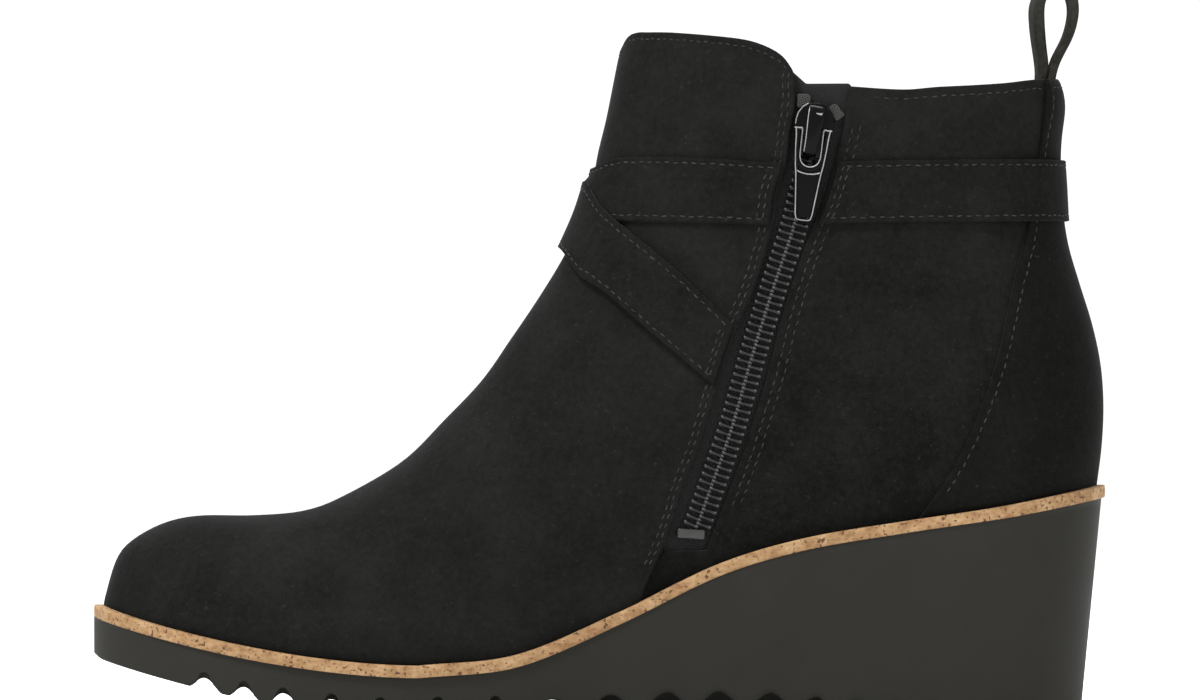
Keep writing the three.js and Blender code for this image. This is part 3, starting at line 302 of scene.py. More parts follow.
def edge_z(x):
    """Height of the upper's lower edge: forefoot height, plus the heel's rise, plus the toe's spring."""
    along = along_at(x)
    rise = np.where(along > BALL_ALONG, curve(HEEL_RISE, along), 0)
    lift = TOE_SPRING * np.maximum(0, 1 - along / BALL_ALONG) ** TOE_CURVE
    return FOREFOOT_HEIGHT + (HEEL_HEIGHT - FOREFOOT_HEIGHT) * rise + lift


def back_x(z):
    """The back's line in the side view: the sole's end less the flange and the ankle's inset."""
    return SOLE_LENGTH / 2 - RAND_FLANGE - ANKLE_INSET * curve(BACK, up_at(z))


def centre_y(x):
    """The middle plane: towards the toe it swings inwards with the square of the distance."""
    return -TOE_SWING * np.maximum(0, 1 - along_at(x) / 0.45) ** 2


def seam_x(z):
    """The front panel's edge at a height."""
    return x_at(curve(SEAM, up_at(z)))


def zip_back_x(z):
    """The quarter's folded edge behind the zip at a height."""
    return x_at(curve(ZIP_BACK, up_at(z)))


def counter_x(z):
    """The heel counter's front edge at a height."""
    return x_at(curve(COUNTER, up_at(z)))


def collar_z(x):
    """The collar's height at x."""
    return z_at(curve(COLLAR, along_at(x)))


def rounded(depth, full):
    """Share of the full width left at a depth inside an edge: (1 - (1 - d)^n)^(1/n)."""
    t = np.clip(depth / full, 0, 1)
    return (1 - (1 - t) ** ROUNDNESS) ** (1 / ROUNDNESS)


def by_length(points, count):
    """A side-view line read at equal steps of its own length."""
    steps = np.hypot(*np.diff(points, axis=0).T)
    length = np.concatenate(([0], np.cumsum(steps)))
    share = np.linspace(0, 1, count) * length[-1]
    return np.stack([np.interp(share, length, points[:, k]) for k in (0, 1)], axis=1)


def ridge_points():
    """The ridge's rows joined by a Catmull-Rom spline, in the side view."""
    x = x_at(RIDGE[:, 0])
    z = mix(edge_z(x), HEEL_HEIGHT, RIDGE[:, 1]) + RIDGE[:, 2] * SHAFT_HEIGHT
    rows = np.stack([x, z], axis=1)
    place = np.linspace(0, len(rows) - 1, 221)
    k = np.minimum(place.astype(int), len(rows) - 2)
    w = (place - k)[:, None]
    p0, p1 = rows[np.maximum(k - 1, 0)], rows[k]
    p2, p3 = rows[k + 1], rows[np.minimum(k + 2, len(rows) - 1)]
    v0, v1 = (p2 - p0) / 2, (p3 - p1) / 2
    return (2 * p1 - 2 * p2 + v0 + v1) * w ** 3 + (-3 * p1 + 3 * p2 - 2 * v0 - v1) * w ** 2 + v0 * w + p1


RIDGE_LINE = by_length(ridge_points(), 2001)
TOE_X = x_at(RIDGE[0, 0])


def lower_points():
    """The line under the lower edge from the toe to the heel, and then up the back."""
    low = HEEL_HEIGHT - LOWER_RUN
    x = np.linspace(TOE_X, float(back_x(low)), 81)
    z = np.linspace(low, z_at(BACK_TOP_UP), 61)[1:]
    under = np.stack([x, edge_z(x) - LOWER_RUN], axis=1)
    return np.concatenate([under, np.stack([back_x(z), z], axis=1)])


END_LINE = by_length(lower_points(), 2001)
FAN_T = np.linspace(0, 1, len(FAN))
SECTION_T = np.linspace(0, 1, 4001)


def read_line(line, share):
    """x and z at shares of a line that is spaced evenly."""
    place = np.clip(share, 0, 1) * (len(line) - 1)
    index = np.arange(len(line))
    return np.interp(place, index, line[:, 0]), np.interp(place, index, line[:, 1])


def fan_sections():
    """Both ends of every fan section: the fan's table read on the ridge and on the end line."""
    ridge = curve(np.column_stack([FAN_T, FAN[:, 0]]), SECTION_T)
    end = curve(np.column_stack([FAN_T, FAN[:, 1]]), SECTION_T)
    return np.stack([*read_line(RIDGE_LINE, ridge), *read_line(END_LINE, end)])


SECTIONS = fan_sections()


def section(t):
    """The two ends of fan section t in the side view: front x and z, end x and z."""
    return [np.interp(t, SECTION_T, row) for row in SECTIONS]


def half_width(x, z, side, from_ridge, length):
    """Body width times the roundings over the ridge, the back and the toe, and the tuck at the sole."""
    inner = np.asarray(side) < 0
    along, up = along_at(x), up_at(z)
    plan = BALL_WIDTH * np.where(inner, curve(PLAN, along, 1), curve(PLAN, along, 2))
    shaft = SHAFT_WIDTH * np.where(inner, curve(SHAFT, up, 1), curve(SHAFT, up, 2))
    body = mix(plan, shaft, smoothstep(up, 0, SHAFT_FROM))
    a, soft = length - LOWER_RUN, 10.0
    h = np.clip(0.5 + (RIDGE_DEPTH - a) / (2 * soft), 0, 1)
    depth = np.maximum(2, mix(RIDGE_DEPTH, a, h) - soft * h * (1 - h))
    back = rounded(back_x(z) - x, mix(HEEL_DEPTH, ANKLE_DEPTH, smoothstep(up, 0, 1)))
    tuck = 1 - FEATHER_TUCK * np.exp(-np.maximum(0, z - edge_z(x)) / TUCK_HEIGHT)
    return body * rounded(from_ridge, depth) * back * rounded(x - TOE_X, TOE_DEPTH) * tuck


def skin(x, z, side):
    """Points of the outer skin over the side view, through the fan section on which each of them lies."""
    x, z, side = np.broadcast_arrays(np.asarray(x, float), np.asarray(z, float), side)

    def before(t):
        fx, fz, ex, ez = section(t)
        return (ex - fx) * (z - fz) - (ez - fz) * (x - fx) > 0

    fx, fz, ex, ez = section(halve(before, np.zeros(x.shape), np.ones(x.shape)))
    width = half_width(x, z, side, np.hypot(x - fx, z - fz), np.hypot(ex - fx, ez - fz))
    return np.stack([x, centre_y(x) + side * width, z], axis=-1)


def unit(v):
    """Vectors brought to length 1."""
    return v / np.maximum(np.linalg.norm(v, axis=-1, keepdims=True), 1e-12)


def grid_normals(points):
    """Cross product of the grid's two directions, turned to point away from the boot's middle plane."""
    normals = unit(np.cross(np.gradient(points, axis=0), np.gradient(points, axis=1)))
    away = np.mean(normals[..., 1] * np.sign(points[..., 1] - centre_y(points[..., 0])))
    return normals if away > 0 else -normals


def raised(points, normals, height):
    """Points moved out along their normals."""
    return points + normals * np.asarray(height)[..., None]


def along_row(points):
    """Distance along each row of a grid from its first point."""
    steps = np.linalg.norm(np.diff(points, axis=1), axis=2)
    return np.concatenate([np.zeros((len(points), 1)), np.cumsum(steps, axis=1)], axis=1)


def toward_edge(count):
    """Shares from 0 to 1 that crowd together at 1, where the skin turns over a ridge or the back."""
    return 1 - (1 - np.linspace(0, 1, count)) ** CROWDING


def roll(distance, radius=0.5):
    """Quarter of a circle: how far the skin has dropped at a distance from a rolled edge."""
    short = np.clip(radius - distance, 0, radius)
    return np.sqrt(radius ** 2 - short ** 2) - radius


def stitch_dip(distance, rows=(FIRST_AT, SECOND_AT), depth=0.1):
    """Bell curves that sink the leather along its rows of stitches."""
    return -depth * sum(np.exp(-((distance - row) / 0.45) ** 2) for row in rows)


# Meshes. A shape is its points, its four-sided faces and its three-sided ones.
def grid_faces(rows, columns, wrap_rows=False, wrap_columns=False):
    """Four-sided faces of a grid, closed round in a direction that wraps."""
    i = np.arange(rows if wrap_rows else rows - 1)[:, None]
    j = np.arange(columns if wrap_columns else columns - 1)[None, :]
    i2, j2 = (i + 1) % rows, (j + 1) % columns
    corners = [i * columns + j, i * columns + j2, i2 * columns + j2, i2 * columns + j]
    return np.stack([np.broadcast_to(c, (i.size, j.size)).ravel() for c in corners], axis=1)


def join(shapes):
    """Several shapes as one."""
    points, quads, triangles, count = [], [], [], 0
    for p, q, t in shapes:
        points.append(p.reshape(-1, 3))
        quads.append(q + count)
        triangles.append(t + count)
        count += len(points[-1])
    return np.concatenate(points), np.concatenate(quads), np.concatenate(triangles)


NO_TRIANGLES = np.empty((0, 3), int)
UP = np.array([0.0, 0.0, 1.0])


def sheet(outer, inner, keep=None):
    """Two skins over one grid, closed round every free edge. The faces of the outer one point outwards."""
    rows, columns = outer.shape[:2]
    quads = grid_faces(rows, columns)
    if keep is not None:
        quads = quads[keep.ravel()]
    flat = outer.reshape(-1, 3)
    a, b, c = flat[quads[:, 0]], flat[quads[:, 1]], flat[quads[:, 3]]
    out = (outer - inner).reshape(-1, 3)[quads[:, 0]]
    if np.sum(np.cross(b - a, c - a) * out) < 0:
        quads = quads[:, ::-1]
    count = rows * columns
    start = quads.ravel()
    stop = np.roll(quads, -1, axis=1).ravel()
    free = ~np.isin(start * count + stop, stop * count + start)
    rim = np.stack([stop[free], start[free], start[free] + count, stop[free] + count], axis=1)
    faces = np.concatenate([quads, quads[:, ::-1] + count, rim])
    return np.concatenate([flat, inner.reshape(-1, 3)]), faces, NO_TRIANGLES


def end_fans(sides, count):
    """Triangles from two middle points, numbered count and count + 1, to the first ring and the last."""
    j = np.arange(sides)
    after = (j + 1) % sides
    first = np.stack([np.full(sides, count), after, j], axis=1)
    last = np.stack([np.full(sides, count + 1), count - sides + j, count - sides + after], axis=1)
    return np.concatenate([first, last])


def tube(path, across, up, wide, tall, sides=8, square=2.0):
    """A section carried along a path: a super-ellipse, wide along one direction and tall along the other."""
    angle = np.arange(sides) * 2 * math.pi / sides
    c, s = np.cos(angle), np.sin(angle)
    size = (np.abs(c) ** square + np.abs(s) ** square) ** (-1 / square)
    wide, tall = np.broadcast_to(wide, len(path)), np.broadcast_to(tall, len(path))
    across, up = np.broadcast_to(across, path.shape), np.broadcast_to(up, path.shape)
    points = (path[:, None] + across[:, None] * (wide[:, None] * (c * size) / 2)[..., None]
              + up[:, None] * (tall[:, None] * (s * size) / 2)[..., None])
    ends = np.stack([points[0].mean(axis=0), points[-1].mean(axis=0)])
    faces = grid_faces(len(path), sides, wrap_columns=True)
    points = np.concatenate([points.reshape(-1, 3), ends])
    return facing_out((points, faces, end_fans(sides, len(path) * sides)))


def flat_tube(path, wide, tall, sides=8, square=2.0, height=0.0):
    """A tube along a path in one plane, at a height over it."""
    path = np.column_stack([path, np.full(len(path), height)])
    ahead = unit(np.gradient(path, axis=0))
    return tube(path, np.cross(ahead, UP), UP, wide, tall, sides, square)


def soften(path, times):
    """Moves each point between the ends a quarter of the way to each of its neighbours."""
    for _ in range(times):
        path[1:-1] = (path[:-2] + 2 * path[1:-1] + path[2:]) / 4
    return path


def spread(rows, count):
    """A short table of points read at evenly spaced places of its order."""
    rows = np.asarray(rows, float)
    place = np.linspace(0, len(rows) - 1, count)
    return np.stack([np.interp(place, np.arange(len(rows)), column) for column in rows.T], axis=1)


def both_halves(right):
    """An outline from its right half, which runs from its end to the middle."""
    right = np.asarray(right, float)
    return np.vstack([right * (-1, 1), right[::-1][1:]])


def facing_out(shape):
    """Turns the faces of a closed shape round if its volume comes out negative."""
    points, quads, triangles = shape
    halves = np.concatenate([quads[:, [0, 1, 2]], quads[:, [0, 2, 3]], triangles])
    a, b, c = (points[halves[:, k]] - points[0] for k in range(3))
    if np.sum(np.cross(a, b) * c) < 0:
        return points, quads[:, ::-1], triangles[:, ::-1]
    return shape


def stitches(line, normals, length=1.75, gap=0.7, radius=0.2, lift=0.0, slant=0.0):
    """Short threads along a line: each is a capsule whose ends sink into the leather.

    Sines of the thread's number shift and turn each one a little, as on a hand-guided machine.
    """
    run = np.concatenate(([0], np.cumsum(np.linalg.norm(np.diff(line, axis=0), axis=1))))
    middle = np.arange(gap + length / 2, run[-1] - length / 2, length + gap)
    if len(middle) == 0:
        return np.empty((0, 3)), np.empty((0, 4), int), NO_TRIANGLES

    def read(values, place):
        return np.stack([np.interp(place, run, values[:, k]) for k in range(3)], axis=1)

    ahead = unit(read(line, middle + 0.5) - read(line, middle - 0.5))
    out = read(normals, middle)
    out = unit(out - ahead * np.sum(out * ahead, axis=1, keepdims=True))
    beside = np.cross(ahead, out)
    number = np.arange(len(middle))[:, None]
    centre = read(line, middle) + beside * STITCH_SHIFT * np.sin(2.4 * number)
    ahead = unit(ahead + beside * (slant + STITCH_TURN * np.sin(1.7 * number)))
    rings, sides = 5, 6
    place = np.linspace(-1, 1, rings + 2)
    angle = np.arange(sides) * 2 * math.pi / sides
    thick = radius * np.sqrt(np.maximum(1 - place[1:-1] ** 4, 0.2))
    share = np.concatenate([np.repeat(place[1:-1], sides), place[[0, -1]]])
    along = share * length / 2
    high = np.concatenate([np.outer(thick, np.sin(angle)).ravel(), [0, 0]]) - STITCH_SINK * share ** 4 + lift
    wide = np.concatenate([np.outer(thick, np.cos(angle)).ravel(), [0, 0]])
    points = (centre[:, None] + ahead[:, None] * along[None, :, None]
              + out[:, None] * high[None, :, None] + beside[:, None] * wide[None, :, None])
    quads = grid_faces(rings, sides, wrap_columns=True)
    _, quads, triangles = facing_out((points[0], quads, end_fans(sides, rings * sides)))
    shift = number[..., None] * points.shape[1]
    return points.reshape(-1, 3), (quads + shift).reshape(-1, 4), (triangles + shift).reshape(-1, 3)


def add_piece(name, shape, finish, replaces=(), body="boot"):
    """Puts a shape in millimetres into the scene, in metres, riding on a body."""
    points, quads, triangles = shape
    mesh = bpy.data.meshes.new(name)
    mesh.vertices.add(len(points))
    mesh.vertices.foreach_set("co", ((points + CENTRING) / 1000).astype(np.float32).ravel())
    mesh.loops.add(quads.size + triangles.size)
    corners = np.concatenate([quads.ravel(), triangles.ravel()]).astype(np.int32)
    mesh.loops.foreach_set("vertex_index", corners)
    mesh.polygons.add(len(quads) + len(triangles))
    starts = np.concatenate([np.arange(len(quads)) * 4, quads.size + np.arange(len(triangles)) * 3])
    mesh.polygons.foreach_set("loop_start", starts.astype(np.int32))
    mesh.update(calc_edges=True)
    mesh.validate()
    mesh.polygons.foreach_set("use_smooth", np.ones(len(mesh.polygons), bool))
    mesh.materials.append(finish)
    piece = bpy.data.objects.new(name, mesh)
    bpy.context.scene.collection.objects.link(piece)
    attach(piece, body)
    if replaces:
        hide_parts(*replaces)


# Materials
class Finish:
    """A Principled material and short calls for its nodes."""

    def __init__(self, name, **sockets):
        self.material = bpy.data.materials.new(name)
        self.material.use_nodes = True
        self.nodes = self.material.node_tree.nodes
        self.links = self.material.node_tree.links
        self.shader = self.nodes["Principled BSDF"]
        self.place = self.nodes.new("ShaderNodeTexCoord").outputs["Object"]
        for socket, value in sockets.items():
            self.shader.inputs[socket.replace("_", " ")].default_value = value

    def stretch(self, scale, turn=(0, 0, 0)):
        mapping = self.nodes.new("ShaderNodeMapping")
        mapping.inputs["Scale"].default_value = scale
        mapping.inputs["Rotation"].default_value = turn
        self.links.new(self.place, mapping.inputs["Vector"])
        return mapping.outputs["Vector"]

    def noise(self, scale, detail=4.0, rough=0.55, place=None):
        node = self.nodes.new("ShaderNodeTexNoise")
        node.inputs["Scale"].default_value = scale
        node.inputs["Detail"].default_value = detail
        node.inputs["Roughness"].default_value = rough
        self.links.new(place or self.place, node.inputs["Vector"])
        return node.outputs["Fac"]

    def cells(self, scale, place=None):
        node = self.nodes.new("ShaderNodeTexVoronoi")
        node.inputs["Scale"].default_value = scale
        self.links.new(place or self.place, node.inputs["Vector"])
        return node.outputs["Distance"]

    def waves(self, scale, place=None, direction="X", distortion=0.0):
        node = self.nodes.new("ShaderNodeTexWave")
        node.bands_direction = direction
        node.inputs["Scale"].default_value = scale
        node.inputs["Distortion"].default_value = distortion
        self.links.new(place or self.place, node.inputs["Vector"])
        return node.outputs["Fac"]

    def height(self):
        node = self.nodes.new("ShaderNodeSeparateXYZ")
        self.links.new(self.place, node.inputs[0])
        return node.outputs["Z"]

    def ramp(self, value, stops):
        """Colours between stops; the stops' own range is first stretched to the ramp's 0 to 1."""
        first, last = stops[0][0], stops[-1][0]
        ranged = self.nodes.new("ShaderNodeMapRange")
        ranged.inputs["From Min"].default_value = first
        ranged.inputs["From Max"].default_value = last
        self.links.new(value, ranged.inputs["Value"])
        node = self.nodes.new("ShaderNodeValToRGB")
        while len(node.color_ramp.elements) < len(stops):
            node.color_ramp.elements.new(0.5)
        for element, (position, colour) in zip(node.color_ramp.elements, stops):
            element.position = (position - first) / (last - first)
            element.color = (*colour, 1)
        self.links.new(ranged.outputs["Result"], node.inputs["Fac"])
        return node.outputs["Color"]

    def sum(self, a, b, share=1.0):
        """a + share * b"""
        node = self.nodes.new("ShaderNodeMath")
        node.operation = "MULTIPLY_ADD"
        node.inputs[1].default_value = share
        self.links.new(b, node.inputs[0])
        self.links.new(a, node.inputs[2])
        return node.outputs["Value"]

    def blend(self, share, a, b):
        """Colour a where share is 0 and b where it is 1."""
        node = self.nodes.new("ShaderNodeMix")
        node.data_type = "RGBA"
        self.links.new(share, node.inputs["Factor"])
        for socket, value in ((node.inputs[6], a), (node.inputs[7], b)):
            if isinstance(value, tuple):
                socket.default_value = (*value, 1)
            else:
                self.links.new(value, socket)
        return node.outputs[2]

    def colour(self, value):
        self.links.new(value, self.shader.inputs["Base Color"])

    def roughness(self, value, low, high):
        node = self.nodes.new("ShaderNodeMapRange")
        node.inputs["To Min"].default_value = low
        node.inputs["To Max"].default_value = high
        self.links.new(value, node.inputs["Value"])
        self.links.new(node.outputs["Result"], self.shader.inputs["Roughness"])

    def bump(self, height, depth, strength=1.0):
        """Depth is the height of the relief in metres where the value goes from 0 to 1."""
        node = self.nodes.new("ShaderNodeBump")
        node.inputs["Distance"].default_value = depth
        node.inputs["Strength"].default_value = strength
        self.links.new(height, node.inputs["Height"])
        self.links.new(node.outputs["Normal"], self.shader.inputs["Normal"])


def suede_finish(name, dark, light, nap=2400.0, sheen=0.045, shade_fall=0.0):
    """Cloudy mottling of two near-black greys under a fine nap, with a soft sheen.

    Shade fall is painted shade: how much darker the colour gets for each metre towards the sole, in shares of
    the mottling.
    """
    f = Finish(name, Roughness=0.92, Sheen_Weight=sheen, Sheen_Roughness=0.3,
               Sheen_Tint=(0.8, 0.84, 0.88, 1), Specular_IOR_Level=0.03)
    clouds = f.noise(55, detail=5, rough=0.6)
    fibres = f.noise(nap, detail=3, rough=0.7)
    patches = f.noise(620, detail=4, rough=0.7)
    tone = f.sum(f.sum(clouds, fibres, 0.6), patches, 0.9)
    # Painted shade: the colour darkens towards the sole
    tone = f.sum(tone, f.height(), shade_fall)
    middle = 1.25 + shade_fall * 0.1
    nap_colour = f.ramp(tone, [(middle - 0.3, dark), (middle + 0.3, light)])
    lint = f.noise(1050, detail=3, rough=0.5, place=f.stretch((0.8, 0.8, 1.1), (0.3, 0.9, 0.2)))
    flecks = f.ramp(lint, [(0.64, (0, 0, 0)), (0.78, (0.4, 0.4, 0.4))])
    f.colour(f.blend(flecks, nap_colour, (0.03, 0.03, 0.028)))
    f.bump(f.sum(fibres, patches, 0.9), 0.00016, 0.55)
    return f.material


def thread_finish():
    """Waxed thread: twisted strands, some stitches rubbed lighter than others."""
    f = Finish("thread", Roughness=0.65, Specular_IOR_Level=0.15)
    twist = f.waves(1500, place=f.stretch((1, 1, 1), (0.5, 0.4, 0.6)), distortion=1.5)
    rubbed = f.noise(330, detail=1)
    tone = f.sum(twist, rubbed, 2.5)
    f.colour(f.ramp(tone, [(0.9, (0.006, 0.006, 0.0058)), (2.6, (0.04, 0.04, 0.038))]))
    f.bump(twist, 0.0001, 0.6)
    return f.material


def cork_finish():
    """Pale compressed cork: soft granules with dark brown and reddish specks."""
    f = Finish("cork", Roughness=0.82, Specular_IOR_Level=0.3)
    squashed = f.stretch((1, 1, 1.5))
    granules = f.cells(720, squashed)
    clouds = f.noise(210, detail=5, rough=0.6, place=squashed)
    base = f.ramp(f.sum(clouds, granules, 0.25), [
        (0.38, (0.165, 0.085, 0.034)), (0.62, (0.262, 0.155, 0.072)), (0.86, (0.345, 0.225, 0.118))])
    specks = f.noise(1100, detail=2, rough=0.5)
    dark = f.ramp(specks, [(0.6, (0, 0, 0)), (0.66, (1, 1, 1))])
    spotted = f.blend(dark, base, (0.07, 0.03, 0.014))
    rusty = f.noise(300, detail=3, rough=0.5, place=f.stretch((0.6, 0.6, 1.2)))
    red = f.ramp(rusty, [(0.58, (0, 0, 0)), (0.72, (0.55, 0.55, 0.55))])
    f.colour(f.blend(red, spotted, (0.16, 0.058, 0.022)))
    f.bump(f.sum(granules, specks, 0.6), 0.0002, 0.5)
    return f.material


def rubber_finish():
    """Matt moulded rubber, dark warm grey, with dusty patches and a fine moulded grain."""
    f = Finish("rubber", Roughness=0.6, Specular_IOR_Level=0.08)
    dust = f.noise(45, detail=6, rough=0.65)
    grain = f.noise(1500, detail=2, rough=0.6)
    tone = f.sum(dust, grain, 0.3)
    f.colour(f.ramp(tone, [(0.45, (0.015, 0.0146, 0.0122)), (0.95, (0.019, 0.0184, 0.0155))]))
    f.roughness(dust, 0.5, 0.72)
    f.bump(grain, 0.00008, 0.5)
    return f.material


def weave_finish(name, dark, light, pitch):
    """Two crossed sets of threads, pitch threads to the metre."""
    f = Finish(name, Roughness=0.85, Sheen_Weight=0.04, Specular_IOR_Level=0.2)
    one = f.waves(pitch, place=f.stretch((1, 1, 1), (0, 0.35, 0)), direction="X")
    other = f.waves(pitch, place=f.stretch((1, 1, 1), (0, 0.35, 0)), direction="Z")
    threads = f.sum(one, other, 1.0)
    fuzz = f.noise(900, detail=3)
    f.colour(f.ramp(f.sum(threads, fuzz, 0.5), [(0.5, dark), (1.9, light)]))
    f.bump(threads, 0.0001, 0.6)
    return f.material


def lining_finish():
    """Knitted mesh: rows of small round holes between fine loops."""
    f = Finish("lining", Roughness=0.9, Sheen_Weight=0.04, Specular_IOR_Level=0.2)
    holes = f.cells(1500)
    fuzz = f.noise(420, detail=4)
    tone = f.sum(holes, fuzz, 0.3)
    f.colour(f.ramp(tone, [(0.1, (0.014, 0.014, 0.015)), (0.9, (0.03, 0.03, 0.032))]))
    f.bump(holes, 0.0003, 0.6)
    return f.material


def coil_finish():
    """Black nylon, its gloss worn in soft patches."""
    f = Finish("coil", Roughness=0.3, Specular_IOR_Level=0.3)
    wear = f.noise(300, detail=4)
    f.colour(f.ramp(wear, [(0.3, (0.005, 0.005, 0.005)), (0.75, (0.014, 0.014, 0.0135))]))
    f.roughness(wear, 0.22, 0.4)
    f.bump(f.noise(2500), 0.00003, 0.4)
    return f.material


def metal_finish(name, dark, light, rough, gloss):
    """Lacquered metal: smooth, with faint handling wear in its gloss."""
    f = Finish(name, Specular_IOR_Level=gloss, Coat_Weight=0.06, Coat_Roughness=0.08)
    wear = f.noise(130, detail=5, rough=0.6)
    f.colour(f.ramp(wear, [(0.35, dark), (0.75, light)]))
    f.roughness(wear, rough, rough + 0.14)
    f.bump(f.noise(700, detail=2), 0.00002, 0.5)
    return f.material


# The quarter's and the counter's suedes are darker than the front panel's: partly painted shade, partly the
# nap's own differences. The quarter's also gets painted shade towards the sole.
SUEDE = suede_finish("suede", (0.0052, 0.0053, 0.0048), (0.011, 0.0112, 0.0105))
QUARTER_SUEDE = suede_finish("quarter_suede", (0.0039, 0.004, 0.0036), (0.0104, 0.0105, 0.0098), shade_fall=3.0)
COUNTER_SUEDE = suede_finish("counter_suede", (0.0035, 0.0036, 0.0031), (0.0074, 0.0075, 0.0066))
STRAP_SUEDE = suede_finish("strap_suede", (0.0042, 0.0043, 0.0038), (0.0104, 0.0105, 0.0097), nap=2000)
LOOP_SUEDE = suede_finish("loop_suede", (0.012, 0.0115, 0.0095), (0.034, 0.032, 0.027), nap=1800)
THREAD = thread_finish()
CORK = cork_finish()
RUBBER = rubber_finish()
TAPE = weave_finish("tape", (0.004, 0.004, 0.004), (0.012, 0.012, 0.0118), 620)
TAPE_FOLD = weave_finish("tape_fold", (0.014, 0.014, 0.0133), (0.045, 0.045, 0.043), 520)
LINING = lining_finish()
COIL = coil_finish()
# Lighter colour for the thin ridges on the coil's rungs: painted highlights
COIL_GLINT = metal_finish("coil_glint", (0.03, 0.03, 0.029), (0.07, 0.07, 0.068), 0.3, 0.5)
GLOSS_BLACK = metal_finish("gloss_black", (0.0008, 0.0008, 0.0008), (0.002, 0.002, 0.002), 0.1, 0.06)
# Light colour for the thin lines along the slider's and the tab's edges: painted highlights
HIGHLIGHT_PAINT = metal_finish("highlight_paint", (0.14, 0.14, 0.135), (0.3, 0.3, 0.29), 0.2, 1.0)
STOP_METAL = metal_finish("stop_metal", (0.014, 0.014, 0.0133), (0.026, 0.026, 0.025), 0.3, 0.4)


# The upper
def crease(points, start, stop, depth, width):
    """A soft trough (or ridge) between two places of the skin: a bell curve across, fading at its ends."""
    start, stop = np.array(start, float), np.array(stop, float)
    run = stop - start
    share = np.clip(np.sum((points - start) * run, axis=-1) / np.sum(run * run), 0, 1)
    away = np.linalg.norm(points - (start + share[..., None] * run), axis=-1)
    fade = np.sin(math.pi * np.clip(share, 0.04, 0.96)) ** 0.6
    return depth * np.exp(-(away / width) ** 2) * fade


def creases(points):
    """The creases of walking and standing, added up."""
    return sum(crease(points, *row) for row in CREASES)


def panel_reach():
    """How far each fan section runs before it meets the lower edge or the seam, by halving."""
    t = np.linspace(FAN_START, 1, 900)
    fx, fz, ex, ez = section(t)
    share = np.linspace(0, 1, 241)

    def inside(q):
        x, z = mix(fx, ex, q), mix(fz, ez, q)
        return (z > edge_z(x) - FEATHER_LAP) & (x < seam_x(z))

    first = np.argmin(np.stack([inside(q) for q in share]), axis=0)
    return t, halve(inside, share[np.maximum(first - 1, 0)], share[first], 16)


REACH_T, REACH = panel_reach()


def panel_grid(rows, across, margin=0.0):
    """The front panel's grid over the fan: rows from the toe to the collar, columns over the ridge.

    Returns its points, each point's distance from the side edges and from the collar, how much room its
    edge has there, and its fan section.
    """
    share = np.linspace(0, 1, across, endpoint=False) ** CROWDING
    steps = EDGE_STEPS[::-1] + margin
    main = len(share)

    def place(t, column):
        """Side-view place of a column at section t, its distance from the edge, and the edge's room."""
        fx, fz, ex, ez = section(t)
        length = np.hypot(ex - fx, ez - fz)
        reach = np.interp(t, REACH_T, REACH)
        ease = np.clip(reach * length / 18, 0, 1)
        last = reach - steps[0] * ease / length
        q = np.where(column < main, last * share[np.minimum(column, main - 1)],
                     reach - steps[np.clip(column - main, 0, len(steps) - 1)] * ease / length)
        q = np.maximum(q, 0)
        return mix(fx, ex, q), mix(fz, ez, q), (reach - q) * length, ease

    columns = np.arange(main + len(steps))

    def below(t):
        x, z = place(t, columns)[:2]
        return z < collar_z(x) - margin

    top = halve(below, np.full(len(columns), 0.5), np.ones(len(columns)))
    x1, z1 = place(top, columns)[:2]
    x0, z0 = place(top - 0.02, columns)[:2]
    rate = 0.02 / np.hypot(x1 - x0, z1 - z0)
    main_t = np.linspace(FAN_START, 1, rows)[:, None] * (top - EDGE_STEPS[-1] * rate)[None]
    top_t = top[None] - EDGE_STEPS[::-1][1:, None] * rate[None]
    t = np.concatenate([main_t, top_t])
    x, z, edge, ease = place(t, np.broadcast_to(columns, t.shape))
    from_top = (top[None] - t) / rate[None]

    def over_ridge(inner, outer):
        return np.concatenate([inner[:, ::-1], outer[:, 1:]], axis=1)

    points = over_ridge(skin(x, z, -1), skin(x, z, 1))
    return points, *[over_ridge(half, half) for half in (edge, from_top, ease, t)]


def seam_foot():
    """The first fan section that ends at the seam and no longer at the sole."""
    fx, fz, ex, ez = section(REACH_T)
    clear = mix(fz, ez, REACH) > edge_z(mix(fx, ex, REACH)) + 0.5
    return float(REACH_T[np.argmax(clear)])


SEAM_FOOT_T = seam_foot()


def front_panel():
    """The suede panel over the toe, the instep and the front of the shaft, thinned where it laps."""
    points, edge, from_top, ease, t = panel_grid(130, 40)
    normals = grid_normals(points)
    near = np.minimum(edge, from_top)
    sewn = smoothstep(t, SEAM_FOOT_T - 0.01, SEAM_FOOT_T + 0.01)
    outer = (PANEL_SKIN + roll(near) * ease + stitch_dip(edge) * sewn
             + stitch_dip(from_top, (FIRST_AT,)) + creases(points))
    lapped = sewn * smoothstep(edge, 12, 9)
    inner = mix(BACKING, QUARTER_SKIN + LAP_GAP, lapped)
    skin_points = raised(points, normals, outer)
    add_piece("front_panel", sheet(skin_points, raised(points, normals, inner)), SUEDE, ["upper"])
    rows = [row for side in (0, 1) for row in panel_stitches(skin_points, normals, t, side)]
    top_row = len(t) - 1 - FIRST_ROW
    rows.append(stitches(skin_points[top_row, 8:-8], normals[top_row, 8:-8], length=1.4, gap=0.6))
    add_piece("panel_stitches", join(rows), THREAD)


def panel_stitches(points, normals, t, side):
    """The two rows along one side's seam, from the sole to the collar."""
    for step in (FIRST_ROW, SECOND_ROW):
        column = step if side == 0 else -1 - step
        sewn = t[:, column] > SEAM_FOOT_T + 0.004
        sewn[-6:] = False
        yield stitches(points[sewn, column], normals[sewn, column], slant=STITCH_SLANT)


